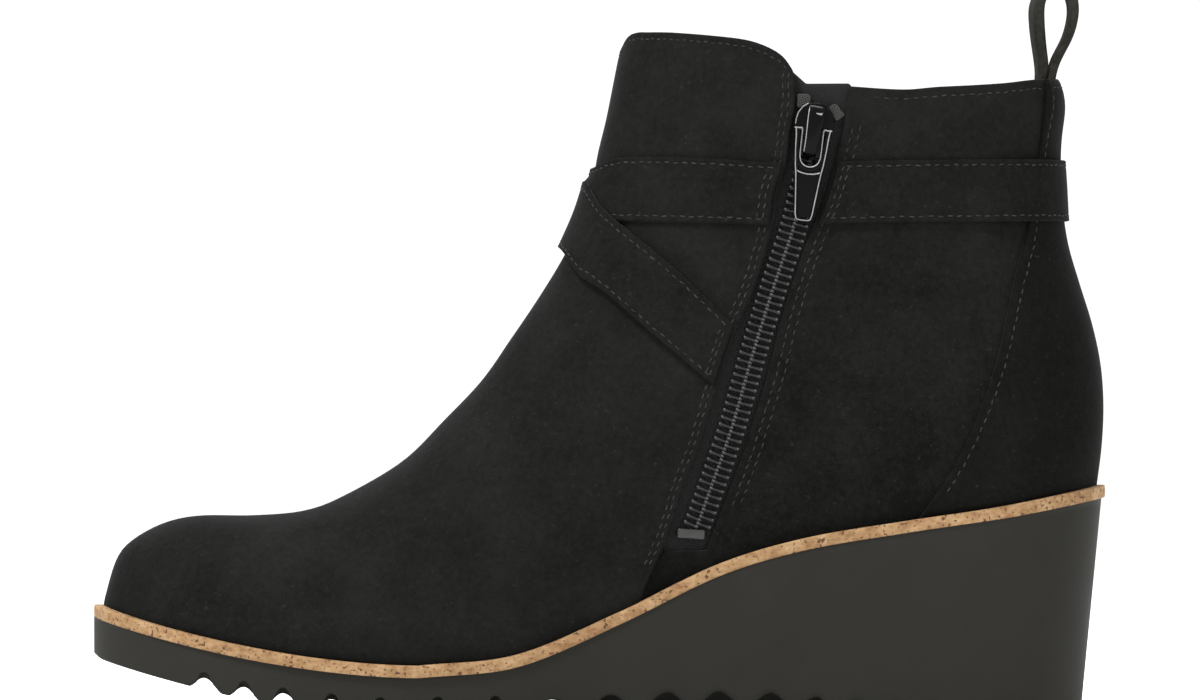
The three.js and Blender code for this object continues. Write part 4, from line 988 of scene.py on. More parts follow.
def lining():
    """The knitted lining: the same forms, one layer further in, and deeper where the pull loop is sewn in."""
    points = panel_grid(60, 18, margin=LINING_MARGIN)[0]
    normals = grid_normals(points)
    front = sheet(raised(points, normals, BACKING - LINING_GAP), raised(points, normals, LINING_SKIN))
    points, _, keep = rear_grid(14, 26, 24, margin=LINING_MARGIN)
    normals = grid_normals(points)
    tail = smoothstep(np.abs(points[..., 1]), 9, 5) * smoothstep(points[..., 2], 140, 146)
    depth = LINING_SKIN - LOOP_ROOM * (tail * (points[..., 0] > 80))
    rear = sheet(raised(points, normals, BACKING - LINING_GAP), raised(points, normals, depth), keep)
    add_piece("lining", join([front, rear]), LINING, ["upper"])


def rear_top(x):
    """Collar height behind the front panel; under the panel it runs on level."""
    return collar_z(np.maximum(x, x_at(0.6935)))


def rear_grid(foot_rows, rows, columns, margin=0.0):
    """The quarters' grid, from the inner seam round the heel to the outer seam.

    The first columns lie under the zip's opening and are kept only below its foot. Rows run from the
    lower edge to the opening's foot and on to the collar; each point is settled by repeated fitting.
    Returns the points, their distances from the opening and the collar, and the faces to keep.
    """
    foot = z_at(SLOT_FOOT)
    steps = EDGE_STEPS + margin
    under = np.linspace(0, 1, UNDER_COLUMNS, endpoint=False)
    bend = (1 - np.linspace(0, 1, columns + 1)[1:]) ** CROWDING
    outer = np.linspace(0, 1, columns + UNDER_COLUMNS + 1)[1:] ** CROWDING
    starts = np.cumsum([len(under), len(steps), len(bend)])
    count = starts[-1] + len(outer)
    side = np.where(np.arange(count) < starts[-1], -1.0, 1.0)

    def column_x(z):
        """x of the columns: under the opening, along its edge, on to the back, and round to the seam."""
        low, near, inner, far = np.split(z, starts, axis=1)
        seam, back = seam_x(low), back_x(inner)
        return np.concatenate([
            seam - SEAM_LAP + (zip_back_x(low) - seam + SEAM_LAP) * under,
            zip_back_x(near) + steps,
            back - (back - zip_back_x(inner) - steps[-1]) * bend,
            back_x(far) - (back_x(far) - seam_x(far) + SEAM_LAP) * outer], axis=1)

    rim = EDGE_STEPS[::-1][1:]
    kind = np.repeat([0, 1, 2], [foot_rows, rows - 1, len(rim)])[:, None]
    part = np.concatenate([np.linspace(0, 1, foot_rows), np.linspace(0, 1, rows)[1:], rim])[:, None]
    slot_end = x_at(curve(ZIP_BACK, SLOT_FOOT))
    z = np.broadcast_to(np.linspace(50, 150, len(part))[:, None], (len(part), count)).copy()
    for _ in range(SETTLING):
        x = column_x(z)
        edge, top = edge_z(x) - FEATHER_LAP, rear_top(x) - margin
        sill = np.where(x < slot_end, foot, edge + foot - edge_z(slot_end) + FEATHER_LAP)
        z = np.select([kind == 0, kind == 1],
                      [mix(edge, sill, part), mix(sill, top - EDGE_STEPS[-1], part)], top - part)
    keep = np.ones((len(part) - 1, count - 1), bool)
    keep[foot_rows - 1:, :UNDER_COLUMNS] = False
    points = skin(x, z, side[None])
    return points, {"slot": x - zip_back_x(z), "top": rear_top(x) - z, "inner": side[None] < 0}, keep


def quarters():
    """The two quarters in one sheet round the heel, with stitches along the zip's opening and the collar."""
    points, near, keep = rear_grid(14, 56, 44)
    normals = grid_normals(points)
    beside = near["inner"] & (points[..., 2] > z_at(SLOT_FOOT) + 0.5)
    slot = np.where(beside, np.maximum(near["slot"], 0), 99)
    drop = (roll(np.minimum(slot, near["top"])) + stitch_dip(near["top"], (MIDDLE_AT,))
            + stitch_dip(slot, (MIDDLE_AT, 4.3)))
    outer = QUARTER_SKIN + drop + creases(points)
    skin_points = raised(points, normals, outer)
    shape = sheet(skin_points, raised(points, normals, BACKING), keep)
    add_piece("quarters", shape, QUARTER_SUEDE, ["upper"])
    rows = []
    for step in (MIDDLE_ROW, OUTER_ROW):
        column = UNDER_COLUMNS + step
        from_foot = points[:, column, 2] > z_at(-0.06)
        from_foot[-16:] = False
        rows.append(stitches(skin_points[from_foot, column], normals[from_foot, column], slant=STITCH_SLANT))
    top_row, first = len(points) - 1 - MIDDLE_ROW, UNDER_COLUMNS + len(EDGE_STEPS) - 1
    rows.append(stitches(skin_points[top_row, first:], normals[top_row, first:]))
    add_piece("quarter_stitches", join(rows), THREAD)


def heel_counter():
    """The overlay round the heel: stitched along its front edges and its top, and padded at the collar."""
    points, front = wrap_counter()
    normals = grid_normals(points)
    top = rear_top(points[..., 0]) - points[..., 2]
    back = smoothstep(points[..., 0], 98, 114)
    padding = 1.1 * np.exp(-((top - 6.5) / 6) ** 2) * back - 0.7 * np.exp(-top / 1.3) * back
    outer = (COUNTER_SKIN + roll(np.minimum(front, top)) + stitch_dip(front, (MIDDLE_AT,))
             + stitch_dip(top, (MIDDLE_AT,)) + creases(points) + padding)
    skin_points = raised(points, normals, outer)
    shape = sheet(skin_points, raised(points, normals, QUARTER_SKIN + LAP_GAP))
    add_piece("heel_counter_skin", shape, COUNTER_SUEDE, ["heel_counter"])
    rows = [stitches(skin_points[3:-9, k], normals[3:-9, k]) for k in (9, -10)]
    rows.append(stitches(skin_points[-10, 10:-10], normals[-10, 10:-10]))
    add_piece("counter_stitches", join(rows), THREAD)


def wrap_counter():
    """The heel counter's grid: rows from the sole to the collar, columns round the back."""
    columns, rows, ends = 22, 60, EDGE_STEPS
    bend = (1 - np.linspace(0, 1, columns + 1)[1:]) ** CROWDING
    share = np.concatenate([np.zeros(len(ends)), bend, bend[::-1][1:], np.zeros(len(ends))])
    step = np.concatenate([ends, np.full(2 * columns - 1, ends[-1]), ends[::-1]])
    flat = np.repeat([True, False, True], [len(ends), 2 * columns - 1, len(ends)])
    side = np.where(np.arange(len(share)) < len(ends) + columns, -1, 1)[None]
    part = np.concatenate([np.linspace(0, 1, rows), ends[::-1][1:]])[:, None]
    rim = np.arange(len(part))[:, None] >= rows
    z = np.broadcast_to(np.linspace(56, 158, len(part))[:, None], (len(part), len(share))).copy()
    for _ in range(SETTLING):
        back, front = back_x(z), counter_x(z)
        near = step * np.clip((back - front) / 12, 0.1, 1)
        x = np.where(flat, front + near, back - (back - front - near) * share)
        edge, top = edge_z(x) - FEATHER_LAP, rear_top(x)
        z = np.where(rim, top - part, mix(edge, top - ends[-1], part))
    points = skin(x, z, side)
    return points, from_ends(along_row(points))


def from_ends(run):
    """Distance to the nearer of a row's two ends."""
    return np.minimum(run, run[:, -1:] - run)


# The straps
def strap_base(x, z):
    """What a strap lies on: the quarter, lifted by ramps onto the front panel and onto the counter."""
    panel = -QUARTER_SKIN * (1 - smoothstep(x - seam_x(z), RAMP_START, RAMP_END))
    counter = (COUNTER_SKIN - QUARTER_SKIN) * (1 - smoothstep(counter_x(z) - x, RAMP_START, RAMP_END))
    return STRAP_LIFT + QUARTER_SKIN + panel + counter


STRAP_ACROSS = np.concatenate([
    EDGE_STEPS[:9], np.linspace(2.6, 12.4, 9), STRAP_WIDTH - EDGE_STEPS[:9][::-1]])
STRAP_ROWS = (STRAP_ACROSS / STRAP_WIDTH)[:, None]


def strap_run(table, side, start, finish, shares):
    """A strap's grid on one side at shares of the way between two places, each x as a function of z."""
    def height(x):
        return z_at(mix(curve(table, along_at(x), 1), curve(table, along_at(x), 2), STRAP_ROWS))

    def settle(line):
        x = np.full(STRAP_ROWS.shape, line(np.full(1, 120.0)))
        for _ in range(2 * SETTLING):
            x = mix(x, line(height(x)), 0.5)
        return x

    x = mix(settle(start), settle(finish), shares)
    return x, height(x), np.full(x.shape, side)


def turned(run):
    """A run the other way round, without the column that it shares with the run before it."""
    return tuple(part[:, ::-1][:, 1:] for part in run)


def ridge_x(z):
    """The front ridge's x at a height."""
    return np.interp(z, RIDGE_LINE[:, 1], RIDGE_LINE[:, 0])


def strap(name, runs, crossing):
    """A strap from its runs: rolled edges, a slight pillow between them, and rows of stitches all round."""
    x, z, side = (np.concatenate(parts, axis=1) for parts in zip(*runs))
    points = skin(x, z, side)
    normals = grid_normals(points)
    base = strap_base(x, z)
    if crossing:
        over = 1 - smoothstep(along_at(x), CROSSING_UNTIL, CROSSING_OFF)
        base = base + (STRAP_THICKNESS + STRAP_LIFT) * over
    edge = np.minimum(STRAP_ACROSS, STRAP_WIDTH - STRAP_ACROSS)[:, None]
    run = along_row(points)
    end = from_ends(run)
    between = (edge - STRAP_STITCH_IN) / (STRAP_WIDTH - 2 * STRAP_STITCH_IN)
    pillow = 0.22 * np.sin(math.pi * np.clip(between, 0, 1))
    outer = (base + STRAP_THICKNESS + roll(np.minimum(edge, end), 0.4) + pillow
             + stitch_dip(edge, (STRAP_STITCH_IN,)))
    skin_points = raised(points, normals, outer)
    add_piece(name + "_skin", sheet(skin_points, raised(points, normals, base)), STRAP_SUEDE, [name])
    threads = [stitches(skin_points[row, 5:-5], normals[row, 5:-5], lift=0.03) for row in (6, -7)]
    middle = len(x) // 2
    first_half = np.arange(x.shape[1]) < x.shape[1] / 2
    for distance in (FIRST_AT, SECOND_AT):
        for column in (np.argmin(np.abs(run[middle] - distance)),
                       np.argmin(np.abs(end[middle] - distance) + first_half * 99)):
            threads.append(stitches(skin_points[4:-4, column], normals[4:-4, column], slant=STITCH_SLANT))
    add_piece(name + "_stitches", join(threads), THREAD)


def ending(count, total):
    """Shares from 0 to 1 with the edge's steps at the start and a crowd at the end."""
    return np.concatenate([EDGE_STEPS[:-1] / total, mix(EDGE_STEPS[-1] / total, 1, toward_edge(count))])


def before_seam(z):
    """The line just in front of the panel's seam, where a strap ends."""
    return seam_x(z) - STRAP_GAP


def behind_zip(z):
    """The line just behind the zip's opening, where a strap ends."""
    return zip_back_x(z) + STRAP_GAP


def outer_middle(z):
    """The place on the outer side where the over strap's front and rear runs meet."""
    return np.full_like(z, 40)


def straps():
    """The crossed straps: both are sewn down in front of the zip, and the upper one also behind it."""
    inner = strap_run(UNDER_INNER, -1, before_seam, ridge_x, ending(30, 45))
    outer = strap_run(UNDER_OUTER, 1, before_seam, ridge_x, ending(30, 45))
    strap("under_strap", [inner, turned(outer)], False)
    inner = strap_run(OVER_INNER, -1, before_seam, ridge_x, ending(30, 45))
    front = strap_run(OVER_OUTER, 1, outer_middle, ridge_x, toward_edge(30))
    rear = strap_run(OVER_OUTER, 1, outer_middle, back_x, toward_edge(50))
    rear = tuple(part[:, 1:] for part in rear)
    back = strap_run(OVER_OUTER, -1, behind_zip, back_x, ending(40, 60))
    strap("over_strap", [inner, turned(front), rear, turned(back)], True)


# The sole
def sole_loop(steps, distance):
    """The upper's outline at its lower edge seen from above, moved out along its normals."""
    share = (1 - np.cos(np.linspace(0, 1, steps) * math.pi)) / 2
    back = back_x(HEEL_HEIGHT)
    for _ in range(4):
        back = back_x(edge_z(back) + 0.01)
    x = mix(TOE_X, float(back) - 0.004, share)
    sides = [skin(x, edge_z(x) + 0.01, side)[:, :2] for side in (-1, 1)]
    loop = np.concatenate([sides[0], sides[1][1:-1][::-1]])
    ahead = np.roll(loop, -1, axis=0) - np.roll(loop, 1, axis=0)
    out = unit(np.stack([ahead[:, 1], -ahead[:, 0]], axis=1))
    for _ in range(3):
        out = unit(out + np.roll(out, 1, axis=0) + np.roll(out, -1, axis=0))
    return loop + out * distance, out


def rand():
    """The cork layer: a slightly convex edge carried round the sole's outline."""
    loop, out = sole_loop(260, RAND_FLANGE)
    angle = np.linspace(-1, 1, 9)
    rim = 0.55 * (np.sqrt(1 - 0.75 * angle ** 2) - 1)
    reach = np.concatenate([[-9, -4, -1.2], rim, [-1.2, -4, -9]])
    half = RAND_THICKNESS / 2 + 0.1
    height = np.concatenate([[1, 1, 1], -np.sin(angle * math.pi / 2), [-1, -1, -1]]) * half
    middle = edge_z(loop[:, 0]) - 0.15 - half
    xy = loop[:, None] + out[:, None] * reach[None, :, None]
    points = np.concatenate([xy, (middle[:, None] + height[None])[..., None]], axis=2)
    faces = grid_faces(len(loop), len(reach), wrap_rows=True, wrap_columns=True)
    shape = facing_out((points.reshape(-1, 3), faces, NO_TRIANGLES))
    add_piece("cork_layer", shape, CORK, ["cork_rand"])


def tread_z(x):
    """Height of the lug tips: the toe's spring and the arch's rise."""
    along = along_at(x)
    spring = TREAD_SPRING * np.maximum(0, 1 - along / (BALL_ALONG - 0.015)) ** TREAD_CURVE
    arch = np.sin(math.pi * np.clip((along - ARCH_FROM) / (ARCH_UNTIL - ARCH_FROM), 0, 1)) ** 1.5
    return spring + ARCH_RISE * arch + 1.2 * smoothstep(-along, -0.012, 0.01)


def groove_depth(x):
    """Round-topped grooves between the lug tips."""
    along = along_at(x)
    gap = np.diff(GROOVES)
    before = np.concatenate([[gap[0]], gap])
    after = np.concatenate([gap, [gap[-1]]])
    offset = along[..., None] - GROOVES
    half = np.where(offset < 0, before, after) / 2 - LUG_TIP / 2 / SOLE_LENGTH
    across = np.abs(offset) / half
    share = np.interp(across, *GROOVE_SHAPE)
    return np.max(share * LUG_DEPTH * SOLE_LENGTH * (before + after) / 2, axis=-1)


def scallop(x):
    """Small round hollows in the wall over the front grooves: half circles 3.8 mm wide."""
    offset = (along_at(x)[..., None] - GROOVES[GROOVES < 0.45]) * SOLE_LENGTH
    return SCALLOP_HEIGHT * np.sqrt(np.max(np.clip(1 - (offset / SCALLOP_RADIUS) ** 2, 0, 1), axis=-1))


def across_sole(ring):
    """Rows of points between the two sides of a ring, from the toe to the heel."""
    inner, outer = ring[1:SOLE_STEPS - 1], ring[SOLE_STEPS:][::-1]
    return mix(inner[None], outer[None], SOLE_COLUMNS[..., None])


def sole_net(first, start):
    """Faces across the sole inside a ring, with triangles at the toe and the heel.

    First is the number of the ring's first point, and start that of the first point between its sides.
    """
    length = SOLE_STEPS - 2
    inner = first + 1 + np.arange(length)
    outer = first + SOLE_STEPS + np.arange(length)[::-1]
    middle = start + np.arange(len(SOLE_COLUMNS) * length).reshape(-1, length)
    net = np.concatenate([inner[None], middle, outer[None]])
    quads = np.stack([net[:-1, :-1], net[:-1, 1:], net[1:, 1:], net[1:, :-1]], axis=-1).reshape(-1, 4)
    toe = np.stack([np.full(len(net) - 1, first), net[:-1, 0], net[1:, 0]], axis=1)
    heel = np.stack([np.full(len(net) - 1, first + SOLE_STEPS - 1), net[1:, -1], net[:-1, -1]], axis=1)
    return quads, np.concatenate([toe, heel])


def outsole():
    """The wedge: a drafted wall round the outline, a flat top, and a tread of grooves across the sole."""
    loop, out = sole_loop(SOLE_STEPS, RAND_FLANGE)
    heel = smoothstep(along_at(loop[:, 0]), 0.8, 1)
    draft = 1 - 2 * SIDE_UNDERCUT / BALL_WIDTH
    foot = np.stack([loop[:, 0] - HEEL_UNDERCUT * heel, loop[:, 1] * draft], axis=1)
    high = np.stack([loop[:, 0] - HEEL_INSET * heel, loop[:, 1]], axis=1)
    share = np.concatenate([[0, 0.006, 0.016, 0.03, 0.05, 0.08, 0.12], np.linspace(0.17, 0.97, 16), [1]])
    share = share[:, None]
    bevel = 0.7 * (1 - np.sqrt(np.clip(1 - (1 - share / 0.05) ** 2, 0, 1))) * (share < 0.05)
    z = np.broadcast_to(np.linspace(5, 50, len(share))[:, None], (len(share), len(loop))).copy()
    for _ in range(20):
        xy = mix(foot, high, ((z + 1) / (SOLE_TOP + 1))[..., None])
        x = xy[..., 0]
        z = mix(tread_z(x) + groove_depth(x) + scallop(x), edge_z(x) - WALL_DROP, share)
    wall = np.concatenate([xy - out[None] * bevel[..., None], z[..., None]], axis=2)
    bottom, lid = across_sole(wall[0]), across_sole(wall[-1])
    beside = np.abs(SOLE_COLUMNS - 0.5)
    x = bottom[..., 0]
    web = GROOVE_WEB * smoothstep(along_at(x), 0.44, 0.5) * (beside < 0.42)
    bottom[..., 2] = tread_z(x) + groove_depth(x) * (1 - web) + scallop(x) * (beside > 0.45)
    points = np.concatenate([part.reshape(-1, 3) for part in (wall, bottom, lid)])
    count, total = len(loop), wall[..., 0].size
    under_quads, under_tips = sole_net(0, total)
    lid_quads, lid_tips = sole_net(total - count, total + bottom[..., 0].size)
    faces = grid_faces(len(share), count, wrap_columns=True)
    quads = np.concatenate([faces, under_quads, lid_quads[:, ::-1]])
    triangles = np.concatenate([under_tips, lid_tips[:, ::-1]])
    add_piece("wedge_sole", facing_out((points, quads, triangles)), RUBBER, ["outsole"])


def footbed():
    """The cushioned footbed: from wall to wall over the sole, a little dished."""
    x = np.linspace(TOE_X + 6, float(back_x(HEEL_HEIGHT)) - 4.5, 80)[:, None]
    across = np.linspace(-1, 1, 25)[None]
    z = edge_z(x) + FOOTBED_RISE
    walls = [skin(x, z, side)[..., 1] - side * FOOTBED_IN for side in (-1, 1)]
    y = mix(walls[0], walls[1], (across + 1) / 2)
    rise = z + 0.8 * across ** 2 - 0.6 * np.clip(np.abs(across) - 0.93, 0, 1) / 0.07
    top = np.stack([x + 0 * y, y, rise + 0 * y], axis=2)
    under = top.copy()
    under[..., 2] = edge_z(x) + 0.4
    add_piece("footbed", sheet(top, under), LINING, ["insole"])


# The pull loop
def pull_loop():
    """A folded strand carried up its front, over the top and down its back."""
    level = float(z_at(curve(COLLAR, along_at(back_x(z_at(1))))))
    middle = float(back_x(level)) - 0.5 - 1 - LOOP_STRAND
    up = np.sin(np.linspace(0, 1, 30) * math.pi / 2)
    hole_foot, hole_top = LOOP_HOLE[0, 0], LOOP_HOLE[-1, 0]
    hole_up = np.interp(up, [0, hole_foot, 1], [0, hole_foot, hole_top])
    tail = np.linspace(-LOOP_TAIL / LOOP_HEIGHT, 0, 8)[:-1]

    def with_tail(line, foot, rise):
        return np.column_stack([np.concatenate([np.full(7, foot), line]), np.concatenate([tail, rise])])

    sides = []
    for column, start in ((1, -0.03), (2, 0.03)):
        outside = curve(LOOP_OUTLINE, up, column)
        inside = np.where(hole_up < hole_foot, mix(start, LOOP_HOLE[0, column], hole_up / hole_foot),
                          curve(LOOP_HOLE, hole_up, column))
        sides.append((with_tail(outside, outside[0], up), with_tail(inside, start, hole_up)))

    def place(p):
        shift = LOOP_LEAN * smoothstep(p[:, 1] * LOOP_HEIGHT, -7, 3)
        x, z = middle + p[:, 0] * LOOP_STRAND + shift, level + p[:, 1] * LOOP_HEIGHT
        return np.stack([x, 0 * x, z], axis=1)

    outer, inner = (place(soften(np.concatenate([front, back[::-1]]), 2)) for front, back in zip(*sides))
    path = (outer + inner) / 2
    out = unit(outer - inner)
    thick = np.linalg.norm(outer - inner, axis=1)
    twist = np.interp(np.arange(len(path)), [0, 7, 20, 40, 56, len(path)], np.radians([0, 5, 10, 7, 4, 0]))
    across = np.column_stack([-np.sin(twist), np.cos(twist), 0 * twist])
    over = np.cross(across, np.cross(out, across))
    shape = tube(path, across, over, LOOP_WIDTH, thick * 0.97, sides=28, square=6)
    add_piece("pull_loop_skin", shape, LOOP_SUEDE, ["pull_loop"])


# The zip
def zip_frames(up):
    """Base, along the zip, out of the boot, and across towards the heel, at shares of the shaft's height."""
    up = np.atleast_1d(up).astype(float)
    x, z = x_at(curve(ZIP, up)), z_at(up)
    base = skin(x, z, -1)
    out = unit(np.cross(skin(x + 1, z, -1) - skin(x - 1, z, -1), skin(x, z + 1, -1) - skin(x, z - 1, -1)))
    along = skin(x_at(curve(ZIP, up + 0.01)), z_at(up + 0.01), -1) - base
    along = unit(along - out * np.sum(along * out, axis=1, keepdims=True))
    return base, along, out, np.cross(along, out)


def on_zip(shape, up, across=0.0, out=0.0, turn=0.0):
    """Moves a shape given across, along and out of the zip to its place at a height on it."""
    points, quads, triangles = shape
    base, ahead, away, beside = (v[0] for v in zip_frames(up))
    c, s = math.cos(turn), math.sin(turn)
    x, y = points[:, 0] * c - points[:, 1] * s, points[:, 0] * s + points[:, 1] * c
    placed = (base + np.multiply.outer(x + across, beside) + np.multiply.outer(y, ahead)
              + np.multiply.outer(points[:, 2] + out, away))
    return placed, quads, triangles


def zip_tape():
    """The two woven tapes behind the opening, with a fine rib along the coil on each side.

    The top edge rises towards the front of the tape and drops at its back.
    """
    across = np.linspace(-TAPE_REACH, TAPE_REACH, 43)[None]
    share = np.linspace(0, 1, 120)[:, None]
    top = np.full_like(across, z_at(0.985))
    for _ in range(12):
        x = x_at(curve(ZIP, up_at(top))) + across
        top = TAPE_TOP + 0.88 * np.clip(51.4 - x, 0, 3.4) - 3 * smoothstep(x, 62.2, 64.5)
    z = mix(z_at(SLOT_FOOT - 0.02), top, share)
    middle = x_at(curve(ZIP, up_at(z)))
    x = middle + across
    points = skin(x, z, -1)
    normals = grid_normals(points)
    outer = TAPE_SKIN + 0.2 * np.exp(-((np.abs(x - middle) - 4.1) / 0.5) ** 2)
    shape = sheet(raised(points, normals, outer), raised(points, normals, outer - TAPE_THICKNESS))
    add_piece("tape_skin", shape, TAPE, ["zip_tape"])


def zip_coil():
    """Two columns of bent rungs, half a pitch apart, whose heads meet at the middle of the zip.

    Each rung rises at the column's outer edge, lies nearly square across the zip, and dives at its head.
    Its shoulder and its head each carry a thin ridge in a lighter colour: a painted highlight.
    """
    up = np.linspace(ZIP_FOOT, SLIDER_UP + 0.03, 400)
    frames = zip_frames(up)
    run = np.concatenate([[0], np.cumsum(np.linalg.norm(np.diff(frames[0], axis=0), axis=1))])
    bend = np.array([(3.3, -0.35), (3.5, 0.1), (3.38, 0.55), (2.9, 0.76), (1.9, 0.5), (1.0, 0.46),
                     (0.35, 0.72), (-0.12, 0.66), (-0.4, 0.3), (-0.45, -0.3)])
    reach, rise = bend[:, :1], bend[:, 1:]
    wide = np.array([0.9, 1.1, 1.2, 1.0, 0.68, 0.66, 0.85, 1.15, 1.1, 0.9])
    tilt = 0.1 * (3 - reach) / 3
    shapes, glints = [], []
    for side in (-1, 1):
        for place in np.arange(0.5 + (side > 0) * 0.5, run[-1] / COIL_PITCH) * COIL_PITCH:
            centre, ahead, lift, beside = (
                np.array([np.interp(place, run, v[:, k]) for k in range(3)]) for v in frames)
            path = (centre + beside * side * reach + lift * (COIL_FOOT + 0.55 + rise)
                    + ahead * (0.22 - tilt))
            over = unit(np.cross(np.gradient(path, axis=0), ahead))
            shapes.append(tube(path, ahead, over, wide, 0.62))
            # Painted highlights: a thin ridge in a lighter colour over each rung's shoulder and head
            for bright in (path[1:4], path[6:9]):
                ridge = bright + 0.26 * lift + 0.16 * ahead
                glints.append(tube(ridge, ahead, lift, 0.42, 0.3, sides=6))
    add_piece("coil_turns", join(shapes), COIL, ["zip_coil"])
    add_piece("coil_glints", join(glints), COIL_GLINT)


def cushion(outline, low, high, rim, crown=0.0):
    """A slab with a rounded rim: rings of its outline, drawn in along a quarter circle to a middle point."""
    centre = outline.mean(axis=0)
    reach = np.linalg.norm(outline - centre, axis=1, keepdims=True)

    def ring(around, share, z):
        """An outline drawn in to a share of its distance from the centre, at a height."""
        return np.column_stack([centre + (around - centre) * share, np.full(len(around), z)])

    angle = np.linspace(0, math.pi / 2, 6)
    layers = []
    for sign, level, turn in ((-1, low, angle[::-1]), (1, high, angle)):
        for z, drawn in zip(level + sign * rim * (np.sin(turn) - 1), rim * (1 - np.cos(turn))):
            layers.append(ring(outline, 1 - drawn / reach, z))
    first, last = layers[0][:, :2], layers[-1][:, :2]
    layers = [ring(first, 0.5, low), *layers]
    layers += [ring(last, share, high + crown * (1 - share ** 2)) for share in (0.8, 0.55, 0.3)]
    rows, count = np.stack(layers), len(outline)
    points = np.concatenate([rows.reshape(-1, 3), [[*centre, low], [*centre, high + crown]]])
    faces = grid_faces(len(rows), count, wrap_columns=True)
    return facing_out((points, faces, end_fans(count, len(rows) * count)))


def smooth_loop(corners, count=72, softening=2):
    """A closed outline through corners, evenly spaced and with its corners softened."""
    points = np.asarray(corners, float)
    closed = np.vstack([points, points[:1]])
    run = np.concatenate([[0], np.cumsum(np.hypot(*np.diff(closed, axis=0).T))])
    place = np.linspace(0, run[-1], count, endpoint=False)
    loop = np.stack([np.interp(place, run, closed[:, k]) for k in (0, 1)], axis=1)
    for _ in range(softening):
        loop = (np.roll(loop, 1, axis=0) + 2 * loop + np.roll(loop, -1, axis=0)) / 4
    return loop


def slider():
    """The slider: a rounded plate with shoulders, side flanges down to the coil, and an arched crown."""
    angle = np.linspace(0, math.pi, 15)
    head = np.column_stack([4.8 * np.cos(angle), 2.2 + 4.8 * np.sin(angle) ** 0.8])
    foot = [(-4.5, -2), (-3.9, -6.2), (-3.2, -7), (3.2, -7), (3.9, -6.2), (4.5, -2)]
    plate = cushion(smooth_loop(np.vstack([head, foot])), SLIDER_LOW - 0.1, SLIDER_HIGH, 0.5, crown=0.12)
    foot = [(-4.0, -2), (-3.5, -6), (-2.9, -6.8), (2.9, -6.8), (3.5, -6), (4.0, -2)]
    flanges = smooth_loop(np.vstack([head * 0.94, foot]))
    under = cushion(flanges, COIL_FOOT - 0.1, COIL_FOOT + 0.8, 0.35)
    y, z = soften(spread([(6.1, 0.4), (6.05, 1.2), (5.7, 2.2), (4.9, 2.95), (3.5, 3.3), (1, 3.42),
                          (-2, 3.42), (-4.2, 3.3), (-5.4, 2.9), (-6.0, 2.2), (-6.25, 1.2), (-6.3, 0.4)],
                         60), 4).T
    line = np.column_stack([0 * y, y, z])
    beside = np.array([1.0, 0.0, 0.0])
    over = np.cross(unit(np.gradient(line, axis=0)), beside)
    wide = mix(3.4, 4.3, smoothstep(y, -4, 5))
    crown = tube(line, beside, over, wide, 0.85, sides=16, square=3.2)
    # Painted highlights in a light colour: a line along the left shoulder, one along the crown's left side,
    # and a patch on the crown's top
    shoulder = painted_highlight_edge([(-4.66, 0.9), (-4.7, 2.2), (-4.45, 3.8), (-3.6, 5.4), (-2.3, 6.5)],
                         SLIDER_HIGH - 0.1, 0.15)
    ridge_line = line[5:-6] + np.column_stack([0.32 - wide[5:-6] / 2, 0 * y[5:-6], 0.27 + 0 * y[5:-6]])
    over = np.cross(unit(np.gradient(ridge_line, axis=0)), beside)
    ridge = tube(ridge_line, beside, over, 0.26, 0.26)
    glint = cushion(smooth_loop([(-0.1, 4.3), (1.5, 4.0), (1.8, 5.4), (0.4, 6.0)], 24), 2.9, 3.7, 0.15)
    glint[0][:, 2] -= 0.72 * (glint[0][:, 1] - 4.2)
    edges = on_zip(join([shoulder, ridge, glint]), SLIDER_UP, SLIDER_ACROSS)
    add_piece("slider_edges", edges, HIGHLIGHT_PAINT)
    body = on_zip(join([plate, under, crown]), SLIDER_UP, SLIDER_ACROSS)
    add_piece("slider_body", body, GLOSS_BLACK, ["zip_slider"])


def painted_highlight_edge(line, height, radius=0.17):
    """A thin ridge along a line, at a height over it; drawn in a light colour, it is a painted highlight."""
    return flat_tube(soften(spread(line, 8 * len(line)), 2), 2 * radius, 2 * radius, height=height)


